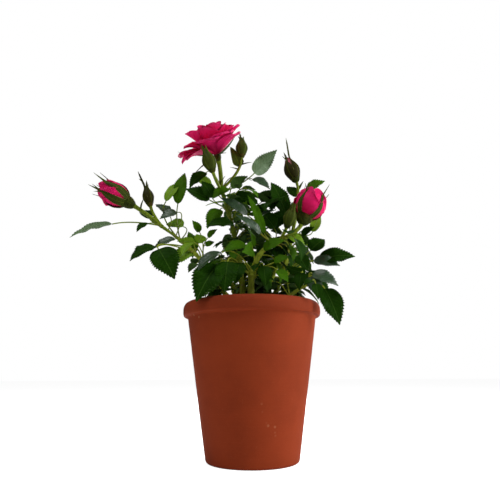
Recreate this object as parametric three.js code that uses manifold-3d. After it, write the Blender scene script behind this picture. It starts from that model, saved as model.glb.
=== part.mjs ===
// A small rose bush in a clay pot: pot, compost, canes, leafy shoots, one open rose and its buds.
// Millimetres, +Z up. The origin is the middle of the pot's underside. An azimuth of 0 points
// along +X and 90 along +Y, and a rise is measured up from level. Angles are in degrees.

import * as THREE from "three";
import { mergeVertices } from "three/addons/utils/BufferGeometryUtils.js";
import Module from "manifold-3d";

const wasm = await Module();
wasm.setup();

// ---- Sizes ----

const GAP = 0.3;           // between pieces that meet
const POT_HEIGHT = 129;
const POT_FOOT = 38.5;     // outer radius at the underside
const POT_NECK = 55.8;     // outer radius just under the rim band
const RIM_LOW = 117;       // height of the rim band's lower edge
const RIM_RADIUS = 60;
const LIP_RADIUS = 56.8;   // outer edge of the top lip
const WALL = 5.6;
const FLOOR = 7.5;
const DRAIN_RADIUS = 4.5;
const DRAIN_RING = 20;
const SOIL = 118;          // top of the compost, where the canes are cut flat

const CANE_FLARE = 0.55;   // how much wider a cane is at its foot
const TWIG = 0.75;         // radius of a leaf's stalk
const BLADE_THICK = 0.45;  // half the thickness of a leaflet at its midrib
const BLADE_WIDTH = 0.6;   // width of a leaflet over its length
const BLADE_ARCH = 22;
const LONG_BLADE = 19.5;   // a side leaflet longer than this is drawn with one row more
const BLADE_FOLD = 0.28;   // how far a leaflet's edges stand above its midrib
const CLEAR = 3.4;         // room that a leaflet keeps to every other leaf and limb
const PAIRS = { 1: [], 3: [0.6], 5: [0.45, 0.74] };

// Each shoot rises in one curve from its foot on the compost. The foot and the tip are
// points, out and up say how far along the way its bend lies, radius is the cane's at the
// foot, and the leafy mass takes over at split.
const SHOOTS = {
  left: { foot: [-14, -4], tip: [-82, -12, 199], out: 0.3, up: 0.62, radius: 2.4, split: 0.42 },
  tall: { foot: [-6, 6], tip: [-29, 0, 241], out: 0.2, up: 0.6, radius: 2.8, split: 0.42 },
  front: { foot: [1, -15], tip: [27, -18, 184], out: -0.31, up: 0.86, radius: 3.4, split: 0.3 },
  right: { foot: [12, 8], tip: [46, 14, 236], out: 0.75, up: 0.45, radius: 2.6, split: 0.24 },
  low: { foot: [14, -12], tip: [58, -22, 146], out: 0.55, up: 0.85, radius: 1.9, split: 0.45 },
  rear_left: { foot: [-12, 16], tip: [-34, 44, 188], out: 0.3, up: 0.65, radius: 2.2, split: 0.26 },
  rear_right: { foot: [10, 20], tip: [34, 46, 186], out: 0.3, up: 0.65, radius: 2.2, split: 0.26 },
};

// The leaves that draw the crown's outline. Columns: shoot, place along it; azimuth, reach and
// lift of the leaf's stalk; turn and dip of its end leaflet; that leaflet's length; number of
// leaflets; lean of the upper faces toward -Y; size of the side leaflets; width over length.
const LEAVES = [
  ["left", 1.0, -160, 42, -3, 0, 20, 38, 1, -24, 0.86, 0.22],
  ["left", 0.96, -145, 15, 2, 15, 35, 17, 1, 30, 0.86, 0.6],
  ["left", 0.97, 145, 19, 12, -5, -45, 20, 1, 40, 0.86, 0.6],
  ["left", 0.93, 95, 7, 17, 65, -45, 22, 3, 30, 0.8, 0.6],
  ["left", 0.8, 90, 16, 18, 65, -20, 23, 3, 60, 0.8, 0.6],
  ["left", 0.8, 115, 13, 39, -65, -80, 39, 1, 60, 0.7, 0.32],
  ["left", 0.85, 88, 3, 24, 113, 23, 18, 1, 60, 0.86, 0.62],
  ["left", 0.8, 150, 19, 41, -122, -62, 29, 1, 60, 0.86, 0.34],
  ["left", 0.7, -150, 31, -3, 0, 30, 27, 3, 40, 0.8, 0.6],
  ["left", 0.66, -145, 33, -3, 117, 55, 33, 1, 60, 0.86, 0.72],
  ["left", 0.78, -159, 6, 2, -10, 23, 23, 1, 50, 0.86, 0.44],
  ["left", 0.55, 151, 9, 12, 44, 37, 25, 1, 60, 0.86, 0.66],
  ["left", 0.62, 101, 8, 6, 64, -69, 22, 1, 60, 0.86, 0.45],
  ["left", 0.55, -135, 3, 26, 0, -50, 13, 3, 60, 0.8, 0.6],
  ["left", 0.5, 75, 5, 27, -100, -40, 12, 3, 60, 0.8, 0.6],
  ["front", 0.35, -140, 37, 4, 0, 55, 38, 1, 60, 0.86, 0.66],
  ["front", 0.32, -128, 32, 9, 28, 65, 30, 1, 65, 0.86, 0.6],
  ["front", 0.39, -139, 34, 12, -16, 35, 30, 1, 30, 0.86, 0.5],
  ["front", 0.43, -111, 16, 17, -44, 15, 23, 3, 50, 0.9, 0.6],
  ["front", 0.34, -120, 21, 8, 10, 60, 23, 1, 60, 0.86, 0.6],
  ["front", 0.92, -135, 15, 4, -15, -65, 38, 1, 70, 0.86, 0.2],
  ["front", 0.9, -165, 25, 23, -5, -35, 30, 3, 70, 0.7, 0.3],
  ["front", 0.88, -125, 20, 3, -30, -35, 28, 1, 60, 0.86, 0.3],
  ["front", 0.39, -65, 21, 1, -15, 65, 20, 3, 60, 0.9, 0.6],
  ["front", 0.39, -46, 29, -3, 11, 45, 15, 1, 60, 0.86, 0.6],
  ["front", 0.43, -48, 25, 1, 28, -20, 14, 1, 60, 0.86, 0.6],
  ["front", 0.95, 55, 15, 29, 120, -70, 38, 1, 60, 0.86, 0.42],
  ["front", 0.9, 89, 5, 14, 118, -48, 21, 1, 60, 0.86, 0.8],
  ["front", 0.85, -165, 11, 22, 135, -25, 17, 3, 40, 0.9, 0.6],
  ["front", 0.76, -110, 8, -4, 85, -22, 21, 1, 60, 0.86, 0.6],
  ["front", 0.97, -30, 9, 2, 15, 30, 17, 1, 60, 0.86, 0.6],
  ["low", 0.9, -35, 9, -7, -10, 65, 34, 1, 70, 0.7, 0.54],
  ["low", 0.8, -85, 10, 7, 65, 26, 25, 1, 60, 0.86, 0.52],
  ["low", 0.7, 115, 8, 18, 145, 60, 18, 3, 60, 0.8, 0.6],
  ["low", 0.75, -70, 8, 6, 20, 72, 19, 1, 60, 0.86, 0.7],
  ["low", 0.7, 82, 11, 13, -99, 37, 28, 1, 60, 0.86, 0.6],
  ["right", 0.3, -15, 37, 19, 0, -5, 34, 1, 66, 0.86, 0.5],
  ["right", 0.27, -20, 34, 21, 2, 12, 25, 1, 66, 0.86, 0.5],
  ["right", 0.33, -40, 20, 19, -15, 52, 21, 1, 60, 0.86, 0.66],
  ["right", 0.45, -45, 21, 23, 10, -30, 15, 3, 60, 0.9, 0.6],
  ["right", 0.35, -15, 28, 22.5, 25, -42, 20, 1, 60, 0.86, 0.8],
  ["right", 0.85, -25, 13, 24.5, 10, -28, 20, 1, 60, 0.86, 0.6],
  ["right", 0.78, 50, 6, 30, 105, -55, 18, 3, 70, 0.9, 0.6],
  ["right", 0.72, 3, 19, 0, -17, -65, 20, 1, 60, 0.86, 0.5],
  ["right", 0.62, -115, 12, 25, -25, 50, 20, 3, 60, 0.9, 0.6],
  ["tall", 0.95, 5, 30.5, 21, 5, -50, 35, 1, -60, 0.86, 0.46],
  ["tall", 0.93, 5, 28, 17, -15, 30, 21, 1, 50, 0.7, 0.6],
  ["tall", 0.97, 3, 12, 14, -10, 9, 18, 1, 30, 0.86, 0.25],
  ["tall", 0.9, -165, 18, 24, 5, 45, 24, 3, 50, 0.9, 0.6],
  ["tall", 0.86, -147, 17, 11, -49, -46, 22, 1, 60, 0.86, 0.5],
  ["tall", 0.8, -145, 17, 7, -1, -54, 19, 1, 60, 0.86, 0.7],
  ["tall", 0.8, -150, 19, 5, -15, -25, 25, 1, 70, 0.86, 0.6],
  ["tall", 0.76, 20, 33, 15, 0, -45, 23, 3, 60, 0.8, 0.6],
  ["tall", 0.85, -75, 12, 10, -70, 35, 22, 3, 50, 0.9, 0.6],
  ["tall", 0.68, -85, 15, 12, -70, 5, 27, 1, 14, 0.86, 0.26],
  ["tall", 0.55, -90, 18, 7, -70, 4, 27, 1, 50, 0.9, 0.6],
  ["tall", 0.6, -135, 17, 18, -15, 55, 24, 1, 60, 0.86, 0.6],
  ["tall", 0.75, -35, 11, 16, 20, 25, 22, 3, 60, 0.9, 0.6],
];

// The leaves that fill each mass, dealt out by the seeded rule: how many are tried, from
// where to where along the shoot, the azimuths, reaches and lengths they are drawn from,
// the mass's own space as least and greatest X and Z, and whether they hang.
const FILLS = [
  { shoot: "left", tries: 24, from: 0.46, to: 0.85, seed: 11, azimuths: [90, 250],
    reach: [12, 26], size: [15, 22], space: [-66, -30, 156, 206], hangs: false },
  { shoot: "tall", tries: 36, from: 0.46, to: 0.95, seed: 23, azimuths: [-100, 120],
    reach: [12, 32], size: [18, 27], space: [-30, 36, 130, 246], hangs: false },
  { shoot: "front", tries: 28, from: 0.34, to: 0.9, seed: 37, azimuths: [-175, -122],
    reach: [12, 30], size: [19, 27], space: [-46, -5, 123, 205], hangs: true },
  { shoot: "front", tries: 36, from: 0.34, to: 0.9, seed: 38, azimuths: [-62, 0],
    reach: [12, 30], size: [19, 27], space: [8, 52, 123, 205], hangs: true },
  { shoot: "right", tries: 30, from: 0.28, to: 0.9, seed: 41, azimuths: [-70, 110],
    reach: [12, 30], size: [16, 26], space: [-10, 60, 125, 225], hangs: false },
  { shoot: "low", tries: 24, from: 0.5, to: 0.95, seed: 53, azimuths: [-110, 40],
    reach: [10, 24], size: [17, 26], space: [10, 66, 122, 168], hangs: true },
  { shoot: "rear_left", tries: 44, from: 0.32, to: 1, seed: 67, azimuths: [50, 250],
    reach: [12, 30], size: [20, 30], space: [-46, 10, 123, 188], hangs: false },
  { shoot: "rear_right", tries: 44, from: 0.32, to: 1, seed: 71, azimuths: [-50, 140],
    reach: [12, 30], size: [20, 30], space: [-20, 64, 123, 212], hangs: false },
];

// Flowers on stalks from a shoot's tip: where the hip begins, which way it looks, length
// and width over all.
const FLOWERS = [
  { name: "left_bud", kind: "half_open", shoot: "left", base: [-105.5, -15, 216.5],
    azimuth: -171, rise: 30, length: 39, width: 21 },
  { name: "left_small_bud", kind: "closed", shoot: "left", base: [-92, -12, 217],
    azimuth: 180, rise: 75, length: 23, width: 10 },
  { name: "right_bud", kind: "half_open", shoot: "front", base: [44, -22, 196],
    azimuth: 0, rise: 66, length: 37, width: 27 },
  { name: "right_small_bud", kind: "closed", shoot: "front", base: [30, -30, 190],
    azimuth: -30, rise: 68, length: 22, width: 11 },
  { name: "high_bud", kind: "closed", shoot: "right", base: [45.5, 15, 252.5],
    azimuth: 180, rise: 72, length: 30, width: 15.5 },
  { name: "bloom_low_bud", kind: "closed", shoot: "tall", base: [-33.5, -33, 241],
    azimuth: -150, rise: 68, length: 24, width: 12 },
  { name: "bloom_side_bud", kind: "closed", shoot: "tall", base: [-9, 5, 274],
    azimuth: 180, rise: 90, length: 24, width: 11.5 },
  { name: "bloom", kind: "open", shoot: "tall", base: [-31, 0, 267.5],
    azimuth: -110, rise: 54, length: 36, width: 64 },
];

// The open rose's spread petals: azimuth about the flower's axis, tilt from it, outward curl
// and length.
const SPREAD_PETALS = [
  [158, 90, 20, 37], [184, 95, 24, 34], [206, 88, 20, 31], [150, 51, 6, 35], [178, 70, 12, 31],
  [-126, 60, 12, 28], [-88, 58, 10, 28], [-50, 58, 8, 31], [-18, 56, 5, 34], [-30, 66, 5, 30],
  [30, 48, 8, 31], [75, 44, 8, 31], [112, 44, 8, 31],
];
const PETAL_WIDTH = 0.98;
const PETAL_FOOT = 8;        // height of the petals' feet above the hip's base

const COLOURS = {
  clay: { color: 0x9a4826, roughness: 0.85 },
  compost: { color: 0x2a1b12, roughness: 1 },
  cane: { color: 0x76802c, roughness: 0.6 },
  leaf: { color: 0x234a17, roughness: 0.45 },
  petal: { color: 0xd01c58, roughness: 0.5 },
};

// ---- Vectors and the seeded rule ----

const vec = (x, y, z) => new THREE.Vector3(x, y, z);
const rad = THREE.MathUtils.degToRad;

function heading(azimuth, rise) {
  const a = rad(azimuth);
  const r = rad(rise);
  return vec(Math.cos(a) * Math.cos(r), Math.sin(a) * Math.cos(r), Math.sin(r));
}

// A point added up from a start and pairs of direction and distance.
function walk(start, ...legs) {
  const point = start.clone();
  for (let i = 0; i < legs.length; i += 2) point.addScaledVector(legs[i], legs[i + 1]);
  return point;
}

// A repeatable stream of numbers from 0 to 1.
function stream(seed) {
  let state = seed;
  const next = () => {
    state = (state * 16807) % 2147483647;
    return state / 2147483647;
  };
  return { next, spread: (most) => (2 * next() - 1) * most };
}

function shootCurve(name) {
  const { foot, tip, out, up } = SHOOTS[name];
  const start = vec(foot[0], foot[1], SOIL);
  const end = vec(...tip);
  const reach = end.clone().sub(start);
  const bend = start.clone().add(vec(reach.x * out, reach.y * out, reach.z * up));
  return new THREE.QuadraticBezierCurve3(start, bend, end);
}

// A curve that arrives at its end along the given direction.
function arriving(start, end, direction) {
  const bend = walk(end, direction, -0.4 * start.distanceTo(end));
  return new THREE.QuadraticBezierCurve3(start, bend, end);
}

// The slope of a bent curve, from its three points.
function slope(curve, t) {
  const first = curve.v1.clone().sub(curve.v0).multiplyScalar(1 - t);
  const second = curve.v2.clone().sub(curve.v1).multiplyScalar(t);
  return first.add(second).normalize();
}

// The upper face's direction: as near to `toward` as a blade along `along` can look.
function facing(along, toward) {
  return walk(toward, along, -along.dot(toward)).normalize();
}

// ---- Where each leaflet lies ----

// Half the width of a leaflet at t along it.
function halfWidth(blade, t) {
  const peak = Math.pow(0.39, 0.55) * Math.pow(0.61, 0.85);
  const shape = Math.pow(t, 0.55) * Math.pow(1 - t, 0.85) / peak;
  return 0.5 * blade.width * blade.length * shape;
}

// A point on the midrib, which bends in an arc away from the upper face.
function midrib(blade, t) {
  const arch = rad(blade.arch);
  const turned = arch * (2 * t - 0.7);
  const ahead = (Math.sin(turned) + Math.sin(0.7 * arch)) / (2 * arch);
  const down = (Math.cos(0.7 * arch) - Math.cos(turned)) / (2 * arch);
  return walk(blade.base, blade.along, ahead * blade.length, blade.face, -down * blade.length);
}

// Points all over a leaflet, used to keep it clear of the others.
function bladePoints(blade) {
  const side = blade.face.clone().cross(blade.along);
  const points = [];
  for (let row = 0; row <= 8; row += 1) {
    const middle = midrib(blade, row / 8);
    const half = halfWidth(blade, row / 8);
    for (const across of [-1, -0.5, 0, 0.5, 1]) {
      const lift = BLADE_FOLD * half * Math.abs(across);
      points.push(walk(middle, side, 0.96 * half * across, blade.face, lift));
    }
  }
  return points;
}

// A leaf: its stalk's curve, its end leaflet and its pairs of side leaflets.
function leaf(spec, numbers) {
  const shoot = shootCurve(spec.shoot);
  const base = shoot.getPoint(spec.at);
  const way = rad(spec.azimuth);
  const reached = vec(Math.cos(way) * spec.reach, Math.sin(way) * spec.reach, spec.lift);
  const end = base.clone().add(reached);
  const along = heading(spec.azimuth + spec.turn, -spec.dip);
  const stalk = arriving(base, end, along);
  const blades = [{ base: end, along, face: facing(along, spec.toward), length: spec.size,
    width: spec.width, arch: BLADE_ARCH, end: true }];
  const pairs = PAIRS[spec.leaflets];
  pairs.forEach((place, index) => {
    const rank = pairs.length - 1 - index;
    const direction = slope(stalk, place);
    const face = facing(direction, spec.toward);
    for (const side of [1, -1]) {
      const splay = rad(side * (54 + 7 * rank + numbers.spread(8)));
      const outward = direction.clone().applyAxisAngle(face, splay);
      const length = spec.size * spec.side * (1 - 0.15 * rank) * (1 + numbers.spread(0.07));
      blades.push({ base: walk(stalk.getPoint(place), outward, 1.4), along: outward, face,
        length, width: Math.max(spec.width, 0.54), arch: BLADE_ARCH, end: false });
    }
  });
  return { shoot: spec.shoot, toward: spec.toward, stalk, pairs, blades, kept: [] };
}

// Everything that leaves keep clear of: points, each with the radius around it and its owner.
const taken = [];

function take(points, radius, owner) {
  for (const point of points) taken.push({ point, radius, owner });
}

function hasRoom(points, radius, owner, room) {
  return points.every((point) => taken.every((other) =>
    other.owner === owner || point.distanceTo(other.point) - other.radius - radius > room));
}

function alongCurve(curve, from, steps) {
  const points = [];
  for (let i = 0; i <= steps; i += 1) points.push(curve.getPoint(from + (1 - from) * i / steps));
  return points;
}

function takeLimbs() {
  for (const name of Object.keys(SHOOTS)) take(alongCurve(shootCurve(name), 0, 39), 1.6, name);
  for (const flower of FLOWERS) {
    const base = vec(...flower.base);
    const axis = heading(flower.azimuth, flower.rise);
    const places = flower.kind === "open" ? [0.5] : [0.25, 0.4, 0.55, 0.7];
    const share = flower.kind === "open" ? 0.36 : 0.5;
    take(places.map((place) => walk(base, axis, place * flower.length)),
      share * flower.width, flower.name);
    const tip = shootCurve(flower.shoot).v2;
    take(alongCurve(new THREE.LineCurve3(tip, base), 0, 11), 1, flower.shoot);
  }
  for (let step = 0; step < 60; step += 1) {
    take([walk(vec(0, 0, 124.5), heading(step * 6, 0), 56.5)], 5, "pot");
  }
}

// First the leaves of the outline with their end leaflets, then their side leaflets where
// there is room, then the fill, which may neither touch anything nor leave its space.
function grow() {
  takeLimbs();
  const numbers = stream(7);
  const leaves = LEAVES.map(([shoot, at, azimuth, reach, lift, turn, dip, size, leaflets,
    lean, side, width]) => leaf({ shoot, at, azimuth, reach, lift, turn, dip, size, leaflets,
    toward: heading(-90, 90 - lean), side, width }, numbers));
  leaves.forEach((one, index) => {
    take(alongCurve(one.stalk, 0, 13), 0.6, index);
    take(bladePoints(one.blades[0]), 0, index);
    one.kept.push(one.blades[0]);
  });
  leaves.forEach((one, index) => {
    for (const blade of one.blades.slice(1)) {
      const points = bladePoints(blade);
      if (!hasRoom(points, 0, index, CLEAR)) continue;
      take(points, 0, index);
      one.kept.push(blade);
    }
  });
  for (const fill of FILLS) growFill(fill, leaves);
  return leaves;
}

function growFill(fill, leaves) {
  const numbers = stream(fill.seed);
  const between = ([low, high]) => low + (high - low) * numbers.next();
  const [left, right, low, high] = fill.space;
  const inside = (point) =>
    point.x > left && point.x < right && point.z > low && point.z < high;
  for (let index = 0; index < fill.tries; index += 1) {
    const at = between([fill.from, fill.to]);
    const dealt = (index * 0.618 + numbers.next() * 0.2) % 1;
    const azimuth = fill.azimuths[0] + (fill.azimuths[1] - fill.azimuths[0]) * dealt;
    const reach = between(fill.reach);
    const size = between(fill.size);
    const lift = fill.hangs ? between([-6, 10]) : between([-4, 18]);
    const dip = fill.hangs ? between([45, 80]) : between([5, 50]);
    const rise = fill.hangs ? between([5, 30]) : between([30, 80]);
    const leaflets = numbers.next() > 0.5 ? 5 : 3;
    const turn = numbers.spread(20);
    const one = leaf({ shoot: fill.shoot, at, azimuth, reach, lift, turn, dip, size, leaflets,
      toward: heading(azimuth, rise), side: 0.86, width: BLADE_WIDTH }, numbers);
    const owner = leaves.length;
    const line = alongCurve(one.stalk, 0.25, 9);
    const free = line.every((point) => taken.every((other) => other.owner === fill.shoot
      || point.distanceTo(other.point) - other.radius > 0.7 * CLEAR));
    if (!free) continue;
    for (const blade of one.blades) {
      const points = bladePoints(blade);
      if (hasRoom(points, 0, owner, CLEAR) && points.every(inside)) one.kept.push(blade);
      else if (blade.end) break;
    }
    if (one.kept.length === 0) continue;
    take(line, 0.6, owner);
    for (const blade of one.kept) take(bladePoints(blade), 0, owner);
    leaves.push(one);
  }
}

// ---- Shapes ----

// Moves every point of a geometry by a rule and welds it to a closed surface.
function shaped(geometry, rule) {
  const closed = geometry.clone();
  closed.deleteAttribute("normal");
  closed.deleteAttribute("uv");
  const place = closed.attributes.position;
  const point = vec(0, 0, 0);
  for (let i = 0; i < place.count; i += 1) {
    point.fromBufferAttribute(place, i);
    const moved = rule(point);
    place.setXYZ(i, moved.x, moved.y, moved.z);
  }
  return mergeVertices(closed, 1e-3);
}

// A tapering limb along a curve. With a foot, its lower end is cut level at that height.
function limb(curve, from, to, radiusAt, sides, rows, foot) {
  const chord = curve.v2.clone().sub(curve.v0).normalize();
  const spare = Math.abs(chord.y) < 0.8 ? vec(0, 1, 0) : vec(1, 0, 0);
  const drum = new THREE.CylinderGeometry(1, 1, 1, sides, rows);
  return shaped(drum, (point) => {
    const share = point.y + 0.5;
    const t = from + (to - from) * share;
    const along = slope(curve, t);
    const side = facing(along, spare);
    const other = side.clone().cross(along);
    const radius = radiusAt(share);
    const moved = walk(curve.getPoint(t), side, point.x * radius, other, point.z * radius);
    if (foot === undefined || share > 0) return moved;
    return walk(moved, along, (foot - moved.z) / along.z);
  });
}

// A leaf's stalk and end leaflet in one: a four-sided spindle that starts as the stalk and
// spreads into the blade.
function leafShape(one, toward) {
  const blade = one.blades[0];
  const joints = one.pairs.length > 0 ? one.pairs : [0.5];
  const stations = [0, 0.03, ...joints, 1, 1.13, 1.44, 1.78, 2];
  const rows = stations.length - 1;
  return shaped(new THREE.SphereGeometry(1, 4, rows), (point) => {
    const share = 1 - Math.acos(THREE.MathUtils.clamp(point.y, -1, 1)) / Math.PI;
    const station = stations[Math.round(share * rows)];
    if (station === 0) return one.stalk.v0.clone();
    if (station === 2) return midrib(blade, 1);
    const ring = Math.hypot(point.x, point.z);
    if (station <= 1) {
      const along = slope(one.stalk, station);
      const face = facing(along, toward);
      const thick = TWIG * (1.1 - 0.25 * station);
      return walk(one.stalk.getPoint(station), along.clone().cross(face),
        thick * point.x / ring, face, thick * point.z / ring);
    }
    return onBlade(blade, station - 1, point.x / ring, point.z / ring, BLADE_THICK, halfWidth,
      BLADE_FOLD);
  });
}

// A point of a blade's skin: across is -1 to 1 from edge to edge, up is 1 on the upper face.
function onBlade(blade, t, across, up, thick, outline, fold) {
  const side = blade.along.clone().cross(blade.face);
  const half = outline(blade, t);
  const lift = fold * half * Math.abs(across) + thick * (1.05 - 0.5 * t) * up;
  return walk(midrib(blade, t), side, half * across, blade.face, lift);
}

// A thin leaf-like blade: a four-sided spindle laid along the midrib and spread sideways.
function bladeShape(blade, rows, root, thick, outline, fold) {
  return shaped(new THREE.SphereGeometry(1, 4, rows), (point) => {
    const share = 1 - Math.acos(THREE.MathUtils.clamp(point.y, -1, 1)) / Math.PI;
    if (share < 0.001) return walk(blade.base, blade.along, -root);
    if (share > 0.999) return midrib(blade, 1);
    const t = 0.14 + 0.64 * (share * rows - 1) / (rows - 2);
    const ring = Math.hypot(point.x, point.z);
    return onBlade(blade, t, point.x / ring, point.z / ring, thick, outline, fold);
  });
}

function turned(profile, sides) {
  const points = profile.map(([radius, height]) => new THREE.Vector2(radius, height));
  const geometry = new THREE.LatheGeometry(points, sides);
  return geometry.rotateX(Math.PI / 2);
}

// ---- Joining ----

function toSolid(geometry) {
  const closed = geometry.clone();
  closed.deleteAttribute("normal");
  closed.deleteAttribute("uv");
  const merged = mergeVertices(closed, 1e-4);
  const solid = new wasm.Mesh({
    numProp: 3,
    vertProperties: new Float32Array(merged.attributes.position.array),
    triVerts: new Uint32Array(merged.index.array),
  });
  return new wasm.Manifold(solid);
}

// Turns a solid back into a geometry. Of several separate pieces only the largest stays, so
// loose scraps and sealed hollows are dropped.
function toGeometry(solid) {
  const { vertProperties, triVerts } = solid.getMesh();
  const parent = Array.from({ length: vertProperties.length / 3 }, (_, i) => i);
  const find = (i) => {
    let top = i;
    while (parent[top] !== top) top = parent[top];
    parent[i] = top;
    return top;
  };
  for (let i = 0; i < triVerts.length; i += 3) {
    parent[find(triVerts[i])] = find(triVerts[i + 1]);
    parent[find(triVerts[i + 1])] = find(triVerts[i + 2]);
  }
  const sizes = new Map();
  for (const corner of triVerts) sizes.set(find(corner), (sizes.get(find(corner)) ?? 0) + 1);
  const largest = [...sizes.keys()].reduce((a, b) => (sizes.get(a) >= sizes.get(b) ? a : b));
  const geometry = new THREE.BufferGeometry();
  geometry.setAttribute("position", new THREE.BufferAttribute(vertProperties, 3));
  geometry.setIndex([...triVerts].filter((corner) => find(corner) === largest));
  return { geometry, pieces: sizes.size };
}

function joined(shapes) {
  return toGeometry(shapes.map(toSolid).reduce((whole, next) => whole.add(next)));
}

// ---- Flowers, each drawn about its own axis from the base of its hip ----

// The outline of a half-open bud's petals as heights and radii, over length and width.
const BUD_PETALS = [
  [0.2, 0.17], [0.3, 0.36], [0.42, 0.47], [0.55, 0.5], [0.7, 0.45], [0.85, 0.33],
  [0.95, 0.18], [1, 0.05],
];

function budRadius(share, width) {
  const next = BUD_PETALS.findIndex(([height]) => height >= share);
  if (next < 1) return BUD_PETALS[0][1] * width;
  const [h0, r0] = BUD_PETALS[next - 1];
  const [h1, r1] = BUD_PETALS[next];
  return (r0 + (r1 - r0) * (share - h0) / (h1 - h0)) * width;
}

function hip(flower) {
  const { length, width } = flower;
  if (flower.kind === "open") {
    return turned([[0, 0], [1.6, 0], [4, 2.6], [4.1, 4.8], [3, 6.6], [0, 6.6]], 8);
  }
  const top = 0.2 * length;
  return turned([[0, 0], [0.08 * width, 0], [0.2 * width, 0.25 * top],
    [0.23 * width, 0.55 * top], [0.18 * width, 0.97 * top], [0, 0.97 * top]], 8);
}

function closedBud(flower) {
  const { length, width } = flower;
  const profile = [[0, 0], [0.2, 0.01], [0.36, 0.09], [0.34, 0.2], [0.5, 0.42], [0.42, 0.66],
    [0.2, 0.86], [0, 0.97]];
  return turned(profile.map(([radius, height]) => [radius * width, height * length]), 7);
}

function round(azimuth, tilt) {
  return heading(azimuth, 90 - tilt);
}

const strap = (blade, t) => 0.5 * blade.width * blade.length * Math.pow(1 - t, 0.7);

// Sepals: tails at a closed bud's tip, straps round a half-open one, a collar on the rose.
function sepals(flower) {
  const { length, width, kind } = flower;
  const shapes = [];
  const count = kind === "closed" ? 3 : 5;
  for (let i = 0; i < count; i += 1) {
    const azimuth = 360 * i / count + 20;
    const outward = heading(azimuth, 0);
    if (kind === "half_open") {
      shapes.push(budStrap(flower, azimuth));
      continue;
    }
    const open = kind === "open";
    const tilt = open ? 124 + 6 * (i % 3) : 12 + 7 * (i % 3);
    const along = round(azimuth, tilt);
    const base = open ? walk(vec(0, 0, 4.6), outward, 2) : walk(vec(0, 0, 0.72 * length),
      outward, 0.2 * width);
    const blade = { base, along, face: facing(along, vec(0, 0, 1)), arch: open ? 14 : 8,
      length: open ? 19 - 2 * (i % 3) : 0.5 * length, width: open ? 0.26 : 0.16 };
    shapes.push(bladeShape(blade, 4, 1.5, 0.5, strap, 0.2));
  }
  return shapes;
}

// A sepal that hugs a half-open bud, then leaves it as a thin tail.
function budStrap(flower, azimuth) {
  const { length, width } = flower;
  const stations = [0.1, 0.24, 0.34, 0.5, 0.66, 0.84, 1.08];
  const rows = stations.length - 1;
  return shaped(new THREE.SphereGeometry(1, 4, rows), (point) => {
    const share = 1 - Math.acos(THREE.MathUtils.clamp(point.y, -1, 1)) / Math.PI;
    const height = stations[Math.round(share * rows)] * length;
    const hug = Math.min(height / length, 0.8);
    const away = Math.max(height / length - 0.8, 0) * length;
    const skin = Math.max(budRadius(hug, width) + 1.6 + 0.35 * away, 0);
    const inner = share < 0.001 ? 0.1 * width : height < 0.2 * length ? 0.2 * width : skin;
    if (share < 0.001 || share > 0.999) return walk(vec(0, 0, height), heading(azimuth, 0), inner);
    const ring = Math.hypot(point.x, point.z);
    const spread = 30 * Math.pow(1 - share, 0.6);
    const out = heading(azimuth + spread * point.x / ring, 0);
    return walk(vec(0, 0, height), out, inner + 0.55 * point.z / ring);
  });
}

const petalOutline = (blade, t) =>
  0.5 * blade.width * blade.length * Math.pow(Math.sin(Math.PI * Math.pow(t, 0.72)), 0.6);

function rosePetals() {
  const shapes = [turned([[0, PETAL_FOOT - 1.05], [2.4, PETAL_FOOT - 1.05], [8, 18], [11, 30],
    [5, 36], [0, 36]], 8)];
  for (const [azimuth, tilt, curl, length] of SPREAD_PETALS) {
    const along = round(azimuth, tilt);
    const base = walk(vec(0, 0, PETAL_FOOT), heading(azimuth, 0), 2.2);
    const blade = { base, along, face: facing(along, vec(0, 0, 1)), arch: curl, length,
      width: PETAL_WIDTH };
    shapes.push(bladeShape(blade, 4, 1, 0.7, petalOutline, 0.22));
  }
  return joined(shapes).geometry;
}

function budPetals(flower) {
  const profile = BUD_PETALS.map(([height, radius]) =>
    [radius * flower.width, height * flower.length + (height === 0.2 ? GAP : 0)]);
  return turned([[0, profile[0][1]], ...profile, [0, flower.length]], 12);
}

function flowerPlace(flower) {
  const turn = new THREE.Quaternion().setFromUnitVectors(
    vec(0, 0, 1), heading(flower.azimuth, flower.rise));
  return new THREE.Matrix4().compose(vec(...flower.base), turn, vec(1, 1, 1));
}

// ---- The pieces ----

function pot() {
  const inner = (height) => POT_FOOT - WALL + (POT_NECK - POT_FOOT) * height / RIM_LOW;
  const shell = turned([
    [0, 0], [POT_FOOT - 1.6, 0], [POT_FOOT, 1.4],
    [POT_NECK, RIM_LOW - 1.6], [POT_NECK + 0.6, RIM_LOW - 0.2],
    [RIM_RADIUS - 0.7, RIM_LOW + 0.4], [RIM_RADIUS, RIM_LOW + 2.2],
    [RIM_RADIUS, POT_HEIGHT - 4.4], [RIM_RADIUS - 1.1, POT_HEIGHT - 1.4],
    [LIP_RADIUS, POT_HEIGHT], [LIP_RADIUS - 2.6, POT_HEIGHT],
    [LIP_RADIUS - 4.2, POT_HEIGHT - 1.6], [inner(RIM_LOW) + 1, RIM_LOW - 2],
    [inner(FLOOR) - 1, FLOOR], [0, FLOOR],
  ], 48);
  let solid = toSolid(shell);
  for (let i = 0; i < 3; i += 1) {
    const drill = new THREE.CylinderGeometry(DRAIN_RADIUS, DRAIN_RADIUS, 3 * FLOOR, 12);
    drill.rotateX(Math.PI / 2);
    const hole = heading(90 + 120 * i, 0).multiplyScalar(DRAIN_RING);
    drill.translate(hole.x, hole.y, 0);
    solid = solid.subtract(toSolid(drill));
  }
  return toGeometry(solid).geometry;
}

function compost() {
  const wall = (height) => POT_FOOT - WALL - 0.35 + (POT_NECK - POT_FOOT) * height / RIM_LOW;
  return turned([
    [0, FLOOR + GAP], [wall(FLOOR) - 1, FLOOR + GAP], [wall(RIM_LOW - 2), RIM_LOW - 2],
    [28, SOIL], [0, SOIL],
  ], 48);
}

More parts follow.
